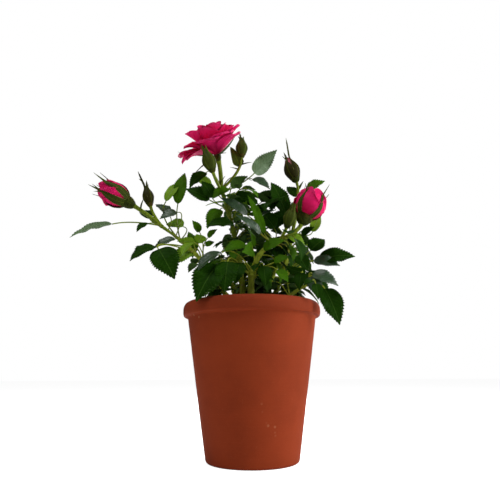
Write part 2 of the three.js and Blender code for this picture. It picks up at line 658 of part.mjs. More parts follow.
function cane(name) {
  const { radius, split } = SHOOTS[name];
  const radiusAt = (share) => radius * (1 - 0.22 * share + CANE_FLARE * Math.exp(-share / 0.09));
  return limb(shootCurve(name), 0, split, radiusAt, 7, 7, SOIL + GAP);
}

function mass(name, leaves) {
  const { radius, split } = SHOOTS[name];
  const curve = shootCurve(name);
  const pace = curve.v1.clone().sub(curve.v0).lerp(curve.v2.clone().sub(curve.v1), split);
  const cut = split + (GAP + 0.05) / (2 * pace.length());
  const shapes = [limb(curve, cut, 1, (share) => radius * (0.76 - 0.28 * share), 6, 7)];
  for (const flower of FLOWERS.filter((one) => one.shoot === name)) {
    const base = vec(...flower.base);
    const axis = heading(flower.azimuth, flower.rise);
    const stalk = arriving(walk(curve.v2, slope(curve, 1), -2), walk(base, axis, 1.5), axis);
    shapes.push(limb(stalk, 0, 1, () => 0.44 * radius, 5, 4));
    const place = flowerPlace(flower);
    const green = flower.kind === "closed" ? closedBud(flower) : hip(flower);
    for (const shape of [green, ...sepals(flower)]) shapes.push(shape.applyMatrix4(place));
  }
  let leaflets = 0;
  for (const one of leaves.filter((leafed) => leafed.shoot === name)) {
    shapes.push(leafShape(one, one.toward));
    for (const blade of one.kept.filter((each) => !each.end)) {
      const rows = blade.length > LONG_BLADE ? 4 : 3;
      shapes.push(bladeShape(blade, rows, 2, BLADE_THICK, halfWidth, BLADE_FOLD));
    }
    leaflets += one.kept.length;
  }
  const { geometry, pieces } = joined(shapes);
  return { geometry, leaflets, pieces };
}

// ---- The plant ----

const rose = new THREE.Group();

function show(name, geometry, look) {
  const material = new THREE.MeshStandardMaterial({ ...look, metalness: 0 });
  const mesh = new THREE.Mesh(geometry, material);
  mesh.name = name;
  rose.add(mesh);
  return mesh;
}

show("pot", pot(), COLOURS.clay);
show("compost", compost(), COLOURS.compost);
const leaves = grow();
for (const name of Object.keys(SHOOTS)) {
  show(`cane_${name}`, cane(name), COLOURS.cane);
  const { geometry, leaflets, pieces } = mass(name, leaves);
  show(`leaves_${name}`, geometry, COLOURS.leaf).userData = { leaflets, pieces };
}
for (const flower of FLOWERS.filter((one) => one.kind !== "closed")) {
  const geometry = flower.kind === "open" ? rosePetals() : budPetals(flower);
  const mesh = show(`${flower.name}_petals`, geometry, COLOURS.petal);
  mesh.applyMatrix4(flowerPlace(flower));
}

export default rose;
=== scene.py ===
"""A small rose bush in a clay pot: canes, leafy shoots, buds and one open rose.

Sizes in the tables are millimetres, +Z up, from the middle of the pot's underside. An azimuth of 0
points along +X and 90 along +Y, a rise is measured up from level, and angles are in degrees.
"""

import math

import bpy
import numpy as np
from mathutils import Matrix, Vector


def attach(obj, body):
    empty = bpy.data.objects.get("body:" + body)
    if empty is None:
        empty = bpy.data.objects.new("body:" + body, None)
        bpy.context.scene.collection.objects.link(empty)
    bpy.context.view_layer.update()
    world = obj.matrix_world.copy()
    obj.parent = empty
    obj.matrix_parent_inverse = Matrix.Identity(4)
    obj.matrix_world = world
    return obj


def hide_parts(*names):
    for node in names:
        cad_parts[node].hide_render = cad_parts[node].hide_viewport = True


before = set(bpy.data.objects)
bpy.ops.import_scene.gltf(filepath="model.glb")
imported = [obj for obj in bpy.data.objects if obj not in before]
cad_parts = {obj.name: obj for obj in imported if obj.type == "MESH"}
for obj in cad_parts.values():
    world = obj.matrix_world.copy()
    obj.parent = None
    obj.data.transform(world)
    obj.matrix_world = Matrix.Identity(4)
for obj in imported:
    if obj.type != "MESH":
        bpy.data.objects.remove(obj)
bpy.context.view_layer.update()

bl_info = {
    "name": "Rose Bush in a Clay Pot",
    "version": (1, 0, 0),
    "blender": (4, 5, 0),
    "location": "View3D > Sidebar > Rose Bush",
    "description": "Builds a small potted rose bush, piece by piece",
    "category": "Add Mesh",
}

MM = 0.001
CLEAR = 3.4                    # room between leaves, as the solids were grown
FINE_CLEAR = 1.7               # room between the finer leaves
HEART_CLEAR = 1.1              # and between those that close the heart
STALK_CLEAR = 0.7              # share of that room that a leaf's stalk keeps
FINE_SIZE = 0.75               # length of a finer leaf over that of the solids' leaves
FINE_SEED = 1000               # added to a fill's seed for its finer leaves
TINT_SEED = 500                # and for the numbers that deal its tones
BLADE_WIDTH = 0.6              # width of a leaflet over its length
SIDE_SIZE = 0.86               # length of a side leaflet over that of its end leaflet
BLADE_FOLD = 0.28              # how far a leaflet's edges stand above its midrib, over half its width
BLADE_ARCH = 22                # half the angle that a midrib turns through
GOLDEN = 0.618                 # step that spreads leaves evenly round a shoot
DRAIN_HOLES = 3

# Where a leaf's pairs of side leaflets stand along its stalk, by its number of leaflets.
PAIRS = {1: (), 3: (0.6,), 5: (0.45, 0.74)}

# The tones of the leaves, and how often the fills and the heart's leaves draw each. Dark is partly
# painted shade, and the heart's leaves are mostly dark to paint the shade inside the crown.
# The bright tone is a painted backlit glow: light shining through a leaf, painted into its colour.
TONES = ("dark", "mid", "bright", "grey")
# The grey tone is partly painted sheen: a greyed green that stands for light glancing off glossy leaves.
FILL_TONES = ("dark", "dark", "dark", "dark", "mid", "mid", "grey", "bright")
HEART_TONES = ("dark", "dark", "dark", "mid")

# The radius of a flower's stalk, by its kind.
STALK_RADIUS = {"closed": 1.4, "half_open": 1.9, "open": 2.2}

# Foot and tip of each shoot, where its bend lies on the way, radius at the foot, and where the
# leafy part begins.
SHOOTS = {
    "left": dict(foot=(-14, -4), tip=(-82, -12, 199), out=0.3, up=0.62, radius=2.4, split=0.42),
    "tall": dict(foot=(-6, 6), tip=(-29, 0, 241), out=0.2, up=0.6, radius=2.8, split=0.42),
    "front": dict(foot=(1, -15), tip=(27, -18, 184), out=-0.31, up=0.86, radius=3.4, split=0.3),
    "right": dict(foot=(12, 8), tip=(46, 14, 236), out=0.75, up=0.45, radius=2.6, split=0.24),
    "low": dict(foot=(14, -12), tip=(58, -22, 146), out=0.55, up=0.85, radius=1.9, split=0.45),
    "rear_left": dict(foot=(-12, 16), tip=(-34, 44, 188), out=0.3, up=0.65, radius=2.2, split=0.26),
    "rear_right": dict(foot=(10, 20), tip=(34, 46, 186), out=0.3, up=0.65, radius=2.2, split=0.26),
}

# The leaves of the outline: shoot, place along it; azimuth, reach and lift of the stalk; turn and
# dip of the end leaflet; its length; number of leaflets; lean of the upper faces toward -Y; size of
# the side leaflets; width over length; colour.
LEAVES = [
    ("left", 1.0, -160, 42, -3, 0, 20, 38, 1, -24, 0.86, 0.22, "grey"),
    ("left", 0.96, -145, 15, 2, 15, 35, 17, 1, 30, 0.86, 0.6, "dark"),
    ("left", 0.97, 145, 19, 12, -5, -45, 20, 1, 40, 0.86, 0.6, "dark"),
    ("left", 0.93, 95, 7, 17, 65, -45, 22, 3, 30, 0.8, 0.6, "grey"),
    ("left", 0.8, 90, 16, 18, 65, -20, 23, 3, 60, 0.8, 0.6, "bright"),
    ("left", 0.8, 115, 13, 39, -65, -80, 39, 1, 60, 0.7, 0.32, "mid"),
    ("left", 0.85, 88, 3, 24, 113, 23, 18, 1, 60, 0.86, 0.62, "grey"),
    ("left", 0.8, 150, 19, 41, -122, -62, 29, 1, 60, 0.86, 0.34, "bright"),
    ("left", 0.7, -150, 31, -3, 0, 30, 27, 3, 40, 0.8, 0.6, "dark"),
    ("left", 0.66, -145, 33, -3, 117, 55, 33, 1, 60, 0.86, 0.72, "dark"),
    ("left", 0.78, -159, 6, 2, -10, 23, 23, 1, 50, 0.86, 0.44, "grey"),
    ("left", 0.55, 151, 9, 12, 44, 37, 25, 1, 60, 0.86, 0.66, "bright"),
    ("left", 0.62, 101, 8, 6, 64, -69, 22, 1, 60, 0.86, 0.45, "mid"),
    ("left", 0.55, -135, 3, 26, 0, -50, 13, 3, 60, 0.8, 0.6, "mid"),
    ("left", 0.5, 75, 5, 27, -100, -40, 12, 3, 60, 0.8, 0.6, "mid"),
    ("front", 0.35, -140, 37, 4, 0, 55, 38, 1, 60, 0.86, 0.66, "dark"),
    ("front", 0.32, -128, 32, 9, 28, 65, 30, 1, 65, 0.86, 0.6, "dark"),
    ("front", 0.39, -139, 34, 12, -16, 35, 30, 1, 30, 0.86, 0.5, "grey"),
    ("front", 0.43, -111, 16, 17, -44, 15, 23, 3, 50, 0.9, 0.6, "mid"),
    ("front", 0.34, -120, 21, 8, 10, 60, 23, 1, 60, 0.86, 0.6, "dark"),
    ("front", 0.92, -135, 15, 4, -15, -65, 38, 1, 70, 0.86, 0.2, "mid"),
    ("front", 0.9, -165, 25, 23, -5, -35, 30, 3, 70, 0.7, 0.3, "grey"),
    ("front", 0.88, -125, 20, 3, -30, -35, 28, 1, 60, 0.86, 0.3, "grey"),
    ("front", 0.39, -65, 21, 1, -15, 65, 20, 3, 60, 0.9, 0.6, "dark"),
    ("front", 0.39, -46, 29, -3, 11, 45, 15, 1, 60, 0.86, 0.6, "mid"),
    ("front", 0.43, -48, 25, 1, 28, -20, 14, 1, 60, 0.86, 0.6, "mid"),
    ("front", 0.95, 55, 15, 29, 120, -70, 38, 1, 60, 0.86, 0.42, "dark"),
    ("front", 0.9, 89, 5, 14, 118, -48, 21, 1, 60, 0.86, 0.8, "dark"),
    ("front", 0.85, -165, 11, 22, 135, -25, 17, 3, 40, 0.9, 0.6, "grey"),
    ("front", 0.76, -110, 8, -4, 85, -22, 21, 1, 60, 0.86, 0.6, "mid"),
    ("front", 0.97, -30, 9, 2, 15, 30, 17, 1, 60, 0.86, 0.6, "bright"),
    ("low", 0.9, -35, 9, -7, -10, 65, 34, 1, 70, 0.7, 0.54, "dark"),
    ("low", 0.8, -85, 10, 7, 65, 26, 25, 1, 60, 0.86, 0.52, "grey"),
    ("low", 0.7, 115, 8, 18, 145, 60, 18, 3, 60, 0.8, 0.6, "dark"),
    ("low", 0.75, -70, 8, 6, 20, 72, 19, 1, 60, 0.86, 0.7, "grey"),
    ("low", 0.7, 82, 11, 13, -99, 37, 28, 1, 60, 0.86, 0.6, "dark"),
    ("right", 0.3, -15, 37, 19, 0, -5, 34, 1, 66, 0.86, 0.5, "dark"),
    ("right", 0.27, -20, 34, 21, 2, 12, 25, 1, 66, 0.86, 0.5, "grey"),
    ("right", 0.33, -40, 20, 19, -15, 52, 21, 1, 60, 0.86, 0.66, "dark"),
    ("right", 0.45, -45, 21, 23, 10, -30, 15, 3, 60, 0.9, 0.6, "dark"),
    ("right", 0.35, -15, 28, 22.5, 25, -42, 20, 1, 60, 0.86, 0.8, "dark"),
    ("right", 0.85, -25, 13, 24.5, 10, -28, 20, 1, 60, 0.86, 0.6, "mid"),
    ("right", 0.78, 50, 6, 30, 105, -55, 18, 3, 70, 0.9, 0.6, "dark"),
    ("right", 0.72, 3, 19, -0, -17, -65, 20, 1, 60, 0.86, 0.5, "bright"),
    ("right", 0.62, -115, 12, 25, -25, 50, 20, 3, 60, 0.9, 0.6, "dark"),
    ("tall", 0.95, 5, 30.5, 21, 5, -50, 35, 1, -60, 0.86, 0.46, "grey"),
    ("tall", 0.93, 5, 28, 17, -15, 30, 21, 1, 50, 0.7, 0.6, "grey"),
    ("tall", 0.97, 3, 12, 14, -10, 9, 18, 1, 30, 0.86, 0.25, "grey"),
    ("tall", 0.9, -165, 18, 24, 5, 45, 24, 3, 50, 0.9, 0.6, "dark"),
    ("tall", 0.86, -147, 17, 11, -49, -46, 22, 1, 60, 0.86, 0.5, "bright"),
    ("tall", 0.8, -145, 17, 7, -1, -54, 19, 1, 60, 0.86, 0.7, "dark"),
    ("tall", 0.8, -150, 19, 5, -15, -25, 25, 1, 70, 0.86, 0.6, "dark"),
    ("tall", 0.76, 20, 33, 15, 0, -45, 23, 3, 60, 0.8, 0.6, "dark"),
    ("tall", 0.85, -75, 12, 10, -70, 35, 22, 3, 50, 0.9, 0.6, "mid"),
    ("tall", 0.68, -85, 15, 12, -70, 5, 27, 1, 14, 0.86, 0.26, "bright"),
    ("tall", 0.55, -90, 18, 7, -70, 4, 27, 1, 50, 0.9, 0.6, "dark"),
    ("tall", 0.6, -135, 17, 18, -15, 55, 24, 1, 60, 0.86, 0.6, "mid"),
    ("tall", 0.75, -35, 11, 16, 20, 25, 22, 3, 60, 0.9, 0.6, "dark"),
]

# The leaves that fill each mass: tries, stretch of the shoot, seed, azimuths, reaches, lengths,
# the mass's own space (least and greatest X and Z), whether they hang, and how many finer tries.
FILLS = [
    dict(shoot="left", tries=24, start=0.46, end=0.85, seed=11, azimuths=(90, 250),
         reach=(12, 26), size=(15, 22), space=(-66, -30, 156, 206), hangs=False, finer=14),
    dict(shoot="tall", tries=36, start=0.46, end=0.95, seed=23, azimuths=(-100, 120),
         reach=(12, 32), size=(18, 27), space=(-30, 36, 130, 246), hangs=False, finer=40),
    dict(shoot="front", tries=28, start=0.34, end=0.9, seed=37, azimuths=(-175, -122),
         reach=(12, 30), size=(19, 27), space=(-46, -5, 123, 205), hangs=True, finer=24),
    dict(shoot="front", tries=36, start=0.34, end=0.9, seed=38, azimuths=(-62, 0),
         reach=(12, 30), size=(19, 27), space=(8, 52, 123, 205), hangs=True, finer=40),
    dict(shoot="right", tries=30, start=0.28, end=0.9, seed=41, azimuths=(-70, 110),
         reach=(12, 30), size=(16, 26), space=(-10, 60, 125, 225), hangs=False, finer=30),
    dict(shoot="low", tries=24, start=0.5, end=0.95, seed=53, azimuths=(-110, 40),
         reach=(10, 24), size=(17, 26), space=(10, 66, 122, 168), hangs=True, finer=16),
    dict(shoot="rear_left", tries=44, start=0.32, end=1, seed=67, azimuths=(50, 250),
         reach=(12, 30), size=(20, 30), space=(-46, 10, 123, 188), hangs=False, finer=50),
    dict(shoot="rear_right", tries=44, start=0.32, end=1, seed=71, azimuths=(-50, 140),
         reach=(12, 30), size=(20, 30), space=(-20, 64, 123, 212), hangs=False, finer=50),
]

# The leaves that close the crown's heart. The solids don't have them. They are grown after the
# others, at their full size, and some reach past their own mass's space into the middle.
HEART = [
    dict(shoot="rear_left", start=0.05, end=0.9, seed=83, azimuths=(-80, 80), finer=140,
         reach=(8, 26), size=(20, 30), space=(-46, 22, 119.5, 186), hangs=False),
    dict(shoot="rear_right", start=0.05, end=0.9, seed=89, azimuths=(100, 260), finer=140,
         reach=(8, 26), size=(20, 30), space=(-22, 62, 119.5, 205), hangs=False),
    dict(shoot="tall", start=0.05, end=0.55, seed=97, azimuths=(0, 360), finer=40,
         reach=(8, 24), size=(16, 24), space=(-44, 30, 119.5, 190), hangs=False),
    dict(shoot="right", start=0.05, end=0.6, seed=101, azimuths=(0, 360), finer=50,
         reach=(8, 24), size=(16, 24), space=(-10, 62, 119.5, 190), hangs=False),
    dict(shoot="tall", start=0.3, end=0.9, seed=109, azimuths=(-40, 100), finer=80,
         reach=(10, 34), size=(20, 29), space=(-25, 44, 160, 238), hangs=False),
    dict(shoot="right", start=0.3, end=0.8, seed=113, azimuths=(110, 270), finer=80,
         reach=(10, 34), size=(20, 29), space=(-22, 40, 160, 232), hangs=False),
    dict(shoot="left", start=0.4, end=0.8, seed=127, azimuths=(20, 170), finer=60,
         reach=(6, 22), size=(14, 21), space=(-64, -20, 166, 210), hangs=False),
    dict(shoot="left", start=0.02, end=0.3, seed=131, azimuths=(60, 260), finer=60,
         reach=(6, 20), size=(14, 22), space=(-46, -8, 119.5, 150), hangs=False),
    dict(shoot="low", start=0.05, end=0.6, seed=103, azimuths=(0, 180), finer=60,
         reach=(8, 24), size=(18, 26), space=(0, 58, 119.5, 160), hangs=False),
    dict(shoot="front", start=0.02, end=0.4, seed=107, azimuths=(20, 160), finer=60,
         reach=(10, 26), size=(18, 26), space=(-44, 34, 119.5, 165), hangs=False),
]

# Flowers: kind, shoot, foot of the hip, which way it looks, length and width over all; how much
# of a half-open bud its sepals cover, and which of a closed bud's five is long (-1 for none).
FLOWERS = [
    dict(name="left_bud", kind="half_open", shoot="left", base=(-105.5, -15, 216.5),
         azimuth=-171, rise=30, length=39, width=21, cover=0.62),
    dict(name="left_small_bud", kind="closed", shoot="left", base=(-92, -12, 217),
         azimuth=180, rise=75, length=23, width=10, tail=3),
    dict(name="right_bud", kind="half_open", shoot="front", base=(44, -22, 196),
         azimuth=0, rise=66, length=37, width=27, cover=0.3),
    dict(name="right_small_bud", kind="closed", shoot="front", base=(30, -30, 190),
         azimuth=-30, rise=68, length=22, width=11, tail=-1),
    dict(name="high_bud", kind="closed", shoot="right", base=(45.5, 15, 252.5),
         azimuth=180, rise=72, length=30, width=15.5, tail=4),
    dict(name="bloom_low_bud", kind="closed", shoot="tall", base=(-33.5, -33, 241),
         azimuth=-150, rise=68, length=24, width=12, tail=-1),
    dict(name="bloom_side_bud", kind="closed", shoot="tall", base=(-9, 5, 274),
         azimuth=180, rise=90, length=24, width=11.5, tail=-1),
    dict(name="bloom", kind="open", shoot="tall", base=(-31, 0, 267.5),
         azimuth=-110, rise=54, length=36, width=64),
]

# The open rose's spread petals: azimuth about the flower's axis, tilt from it, outward curl and
# length.
SPREAD_PETALS = [
    (158, 90, 20, 37), (184, 95, 24, 34), (206, 88, 20, 31), (150, 51, 6, 35), (178, 70, 12, 31),
    (-126, 60, 12, 28), (-88, 58, 10, 28), (-50, 58, 8, 31), (-18, 56, 5, 34), (-30, 66, 5, 30),
    (30, 48, 8, 31), (75, 44, 8, 31), (112, 44, 8, 31),
]
PETAL_WIDTH = 0.98
PETAL_FOOT = 8

# The open rose's sepals: azimuth, tilt and length.
SPREAD_SEPALS = [(-56, 66, 38), (142, 82, 49), (205, 112, 30), (-95, 96, 20), (70, 92, 24)]

# Bracts on the flower stalks: flower, place along its stalk, azimuth, rise, length and width.
BRACTS = [
    ("bloom_side_bud", 0.7, -170, 66, 23, 14), ("bloom_side_bud", 0.8, 165, 50, 15, 2.4),
    ("bloom_side_bud", 0.74, -10, 12, 12, 2.6), ("bloom_side_bud", 0.6, 175, 20, 9, 2.0),
    ("bloom_low_bud", 0.35, -20, 55, 11, 2.4), ("left_bud", 0.72, -70, 30, 14, 4.5),
    ("high_bud", 0.45, 20, 60, 13, 3.2), ("right_small_bud", 0.3, -60, 50, 11, 2.6),
    ("left_small_bud", 0.5, 160, 55, 10, 2.2),
]

# Its heart, wound like a bud: how many, half the angle that each takes, height of the rim, and
# radius at the rim.
HEART_RINGS = [
    (3, 78, 35, 14), (3, 82, 37, 10.5), (3, 88, 37.5, 7), (3, 100, 36.5, 4),
]

# A half-open bud's petals: their height over its length, and their radius over its width.
BUD_PETALS = np.array([
    (0.2, 0.17), (0.3, 0.36), (0.42, 0.47), (0.55, 0.5), (0.7, 0.45), (0.85, 0.33),
    (0.95, 0.18), (1, 0.05),
])

# The lamps: name, place, the point that it looks at, diameter and power. Metres and watts.
LAMPS = [
    ("Key", (1.0, -0.25, 0.55), (0, 0, 0.15), 0.7, 12),
    ("Top", (-0.35, -0.45, 1.15), (0, 0, 0.2), 0.5, 6),
    ("Back", (0.25, 1.0, 0.7), (0, 0, 0.2), 0.9, 14),
]
SURROUND_LIGHT = 0.16          # the white surround's strength as a light
SURROUND_SEEN = 1.0            # and as the backdrop

# The camera: its place in metres, how far it looks up and leans over in degrees, its lens and its
# sensor's width in millimetres. Then the floor's half side and thickness in millimetres.
CAMERA_PLACE = (-0.00175, -0.4065, 0.0687)
CAMERA_RISE = 15.2
CAMERA_ROLL = 0.27
CAMERA_LENS = 33
CAMERA_SENSOR = 36
FLOOR_REACH = 6000
FLOOR_THICK = 3


# ---- Vectors and curves ----

def unit(v):
    return v / np.linalg.norm(v, axis=-1, keepdims=True)


def heading(azimuth, rise):
    a = np.radians(azimuth)
    r = np.radians(rise)
    level = np.cos(r)
    return np.stack(np.broadcast_arrays(np.cos(a) * level, np.sin(a) * level, np.sin(r)), -1)


def facing(along, toward):
    """The part of `toward` that is square to `along`, made one long."""
    return unit(toward - along * np.sum(along * toward, -1, keepdims=True))


def turned(v, axis, angle):
    """v turned about a unit axis by an angle in degrees."""
    a = math.radians(angle)
    return (v * math.cos(a) + np.cross(axis, v) * math.sin(a)
            + axis * np.dot(axis, v) * (1 - math.cos(a)))


def bent(curve, t):
    """Point t of a bent line through three points a, b, c: (1-t)^2 a + 2t(1-t) b + t^2 c."""
    t = np.asarray(t, float)[..., None]
    return (1 - t) ** 2 * curve[0] + 2 * t * (1 - t) * curve[1] + t * t * curve[2]


def slope(curve, t):
    t = np.asarray(t, float)[..., None]
    return unit((1 - t) * (curve[1] - curve[0]) + t * (curve[2] - curve[1]))


def arriving(start, end, direction):
    """A bent line that reaches its end along the given direction."""
    bend = end - direction * 0.4 * np.linalg.norm(end - start)
    return np.array([start, bend, end])


class Numbers:
    """A repeatable stream of numbers from 0 to 1: each is 16807 times the last, modulo 2^31 - 1."""

    def __init__(self, seed):
        self.state = seed

    def next(self):
        self.state = self.state * 16807 % 2147483647
        return self.state / 2147483647

    def spread(self, most):
        return (2 * self.next() - 1) * most

    def between(self, ends):
        return ends[0] + (ends[1] - ends[0]) * self.next()

    def pick(self, choices):
        return choices[int(self.next() * len(choices)) % len(choices)]


def shoot_curve(name, soil):
    shoot = SHOOTS[name]
    start = np.array([*shoot["foot"], soil], float)
    end = np.array(shoot["tip"], float)
    reach = (end - start) * (shoot["out"], shoot["out"], shoot["up"])
    return np.array([start, start + reach, end])


# ---- How the leaves grow ----

def half_width(blade, t):
    """Half a leaflet's width: t^0.55 (1-t)^0.85, scaled so that its greatest is half the width."""
    shape = t ** 0.55 * (1 - t) ** 0.85 / (0.39 ** 0.55 * 0.61 ** 0.85)
    return 0.5 * blade["width"] * blade["length"] * shape


def midrib(blade, t, arch=BLADE_ARCH):
    """The midrib is an arc that turns by twice the arch, away from the upper face."""
    arch = math.radians(arch)
    turn = arch * (2 * t - 0.7)
    ahead = (np.sin(turn) + math.sin(0.7 * arch)) / (2 * arch)
    down = (math.cos(0.7 * arch) - np.cos(turn)) / (2 * arch)
    return (blade["base"] + blade["length"] * (ahead[..., None] * blade["along"]
                                               - down[..., None] * blade["face"]))


def blade_points(blade):
    """Points over a leaflet, used to keep it clear of the others."""
    t = np.linspace(0, 1, 9)[:, None]
    across = np.array([-1, -0.5, 0, 0.5, 1])[None]
    half = half_width(blade, t)
    side = np.cross(blade["face"], blade["along"])
    points = (midrib(blade, t + 0 * across) + (0.96 * half * across)[..., None] * side
              + (BLADE_FOLD * half * np.abs(across))[..., None] * blade["face"])
    return points.reshape(-1, 3)


def make_leaf(spec, numbers, soil):
    """A leaf: its stalk's curve, its end leaflet and its pairs of side leaflets."""
    base = bent(shoot_curve(spec["shoot"], soil), spec["at"])
    way = math.radians(spec["azimuth"])
    reach = spec["reach"]
    end = base + np.array([math.cos(way) * reach, math.sin(way) * reach, spec["lift"]])
    along = heading(spec["azimuth"] + spec["turn"], -spec["dip"])
    stalk = arriving(base, end, along)
    size, width, toward = spec["size"], spec["width"], spec["toward"]
    blades = [dict(base=end, along=along, face=facing(along, toward), length=size, width=width,
                   end=True)]
    pairs = PAIRS[spec["leaflets"]]
    for index, place in enumerate(pairs):
        rank = len(pairs) - 1 - index
        direction = slope(stalk, place)
        face = facing(direction, toward)
        for side in (1, -1):
            outward = turned(direction, face, side * (54 + 7 * rank + numbers.spread(8)))
            length = size * spec["side"] * (1 - 0.15 * rank) * (1 + numbers.spread(0.07))
            blades.append(dict(base=bent(stalk, place) + outward * 1.4, along=outward, face=face,
                               length=length, width=max(width, 0.54), end=False, place=place))
    return dict(shoot=spec["shoot"], at=spec["at"], stalk=stalk, blades=blades, kept=[],
                tone=spec["tone"])


class Crowd:
    """Everything that leaves keep clear of: points, the radius round each, and its owner."""

    def __init__(self):
        self.points = np.zeros((0, 3))
        self.radii = np.zeros(0)
        self.owners = np.zeros(0, int)
        self.names = {}

    def owner(self, name):
        return self.names.setdefault(name, len(self.names))

    def take(self, points, radius, name):
        points = np.atleast_2d(points)
        self.points = np.vstack([self.points, points])
        self.radii = np.append(self.radii, np.full(len(points), radius))
        self.owners = np.append(self.owners, np.full(len(points), self.owner(name)))

    def room(self, points, name):
        """The least room between these points and everything that someone else owns."""
        reach = 45
        low, high = points.min(0) - reach, points.max(0) + reach
        near = ((self.owners != self.owner(name)) & (self.points > low).all(1)
                & (self.points < high).all(1))
        if not near.any():
            return reach
        away = np.linalg.norm(points[:, None] - self.points[near][None], axis=2)
        return (away - self.radii[near]).min()


def take_limbs(crowd, soil):
    for name in SHOOTS:
        crowd.take(bent(shoot_curve(name, soil), np.linspace(0, 1, 40)), 1.6, name)
    for flower in FLOWERS:
        base = np.array(flower["base"], float)
        axis = heading(flower["azimuth"], flower["rise"])
        is_open = flower["kind"] == "open"
        places = np.array([0.5] if is_open else [0.25, 0.4, 0.55, 0.7])[:, None]
        share = 0.36 if is_open else 0.5
        crowd.take(base + axis * places * flower["length"], share * flower["width"],
                   flower["name"])
        tip = np.array(SHOOTS[flower["shoot"]]["tip"], float)
        crowd.take(tip + (base - tip) * np.linspace(0, 1, 12)[:, None], 1, flower["shoot"])
    rim = 56.5 * heading(np.arange(60) * 6, 0) + np.array([0, 0, 124.5])
    crowd.take(rim, 5, "pot")


def grow(soil):
    """First the outline's leaves with their end leaflets, then their side leaflets where there is
    room, then the leaves that fill each mass, and last the finer ones between them."""
    crowd = Crowd()
    take_limbs(crowd, soil)
    numbers = Numbers(7)
    leaves = []
    keys = ("shoot", "at", "azimuth", "reach", "lift", "turn", "dip", "size", "leaflets", "lean",
            "side", "width", "tone")
    for row in LEAVES:
        spec = dict(zip(keys, row))
        spec["toward"] = heading(-90, 90 - spec["lean"])
        leaves.append(make_leaf(spec, numbers, soil))
    for index, leaf in enumerate(leaves):
        crowd.take(bent(leaf["stalk"], np.linspace(0, 1, 14)), 0.6, index)
        crowd.take(blade_points(leaf["blades"][0]), 0, index)
        leaf["kept"].append(leaf["blades"][0])
    for index, leaf in enumerate(leaves):
        for blade in leaf["blades"][1:]:
            points = blade_points(blade)
            if crowd.room(points, index) > CLEAR:
                crowd.take(points, 0, index)
                leaf["kept"].append(blade)
    for fill in FILLS:
        grow_fill(fill, leaves, crowd, soil, False)
    for fill in HEART + FILLS:
        grow_fill(fill, leaves, crowd, soil, True)
    return leaves


def grow_fill(fill, leaves, crowd, soil, finer):
    """Leaves dealt out along a shoot. One that would touch anything or leave its fill's space is
    skipped. Finer ones stand closer together, and are smaller unless they close the heart."""
    numbers = Numbers(fill["seed"] + (FINE_SEED if finer else 0))
    tints = Numbers(fill["seed"] + TINT_SEED)
    closes = fill in HEART
    clear = HEART_CLEAR if closes else FINE_CLEAR if finer else CLEAR
    hangs = fill["hangs"]
    first, last = fill["azimuths"]
    left, right, low, high = fill["space"]
    for index in range(fill["finer"] if finer else fill["tries"]):
        at = numbers.between((fill["start"], fill["end"]))
        dealt = (index * GOLDEN + numbers.next() * 0.2) % 1
        azimuth = first + (last - first) * dealt
        reach = numbers.between(fill["reach"])
        size = numbers.between(fill["size"]) * (FINE_SIZE if finer and not closes else 1)
        lift = numbers.between((-6, 10) if hangs else (-4, 18))
        dip = numbers.between((45, 80) if hangs else (5, 50))
        rise = numbers.between((5, 30) if hangs else (30, 80))
        leaflets = 5 if numbers.next() > 0.5 else 3
        turn = numbers.spread(20)
        tone = tints.pick(HEART_TONES if closes else FILL_TONES)
        # A hanging leaf is dealt dark in place of grey, since the grey tone is partly painted sheen.
        if hangs and tone == "grey":
            tone = "dark"
        leaf = make_leaf(dict(shoot=fill["shoot"], at=at, azimuth=azimuth, reach=reach, lift=lift,
                              turn=turn, dip=dip, size=size, leaflets=leaflets, side=SIDE_SIZE,
                              width=BLADE_WIDTH, toward=heading(azimuth, rise), tone=tone),
                         numbers, soil)
        name = len(leaves)
        line = bent(leaf["stalk"], np.linspace(0.25, 1, 10))
        mine = crowd.owner(name)
        crowd.names[name] = crowd.owner(fill["shoot"])
        free = crowd.room(line, name) > STALK_CLEAR * clear
        crowd.names[name] = mine
        if not free:
            continue
        for blade in leaf["blades"]:
            points = blade_points(blade)
            inside = ((points[:, 0] > left) & (points[:, 0] < right)
                      & (points[:, 2] > low) & (points[:, 2] < high)).all()
            if inside and crowd.room(points, name) > clear:
                leaf["kept"].append(blade)
            elif blade["end"]:
                break
        if not leaf["kept"]:
            continue
        crowd.take(line, 0.6, name)
        for blade in leaf["kept"]:
            crowd.take(blade_points(blade), 0, name)
        leaves.append(leaf)


# ---- Surfaces ----

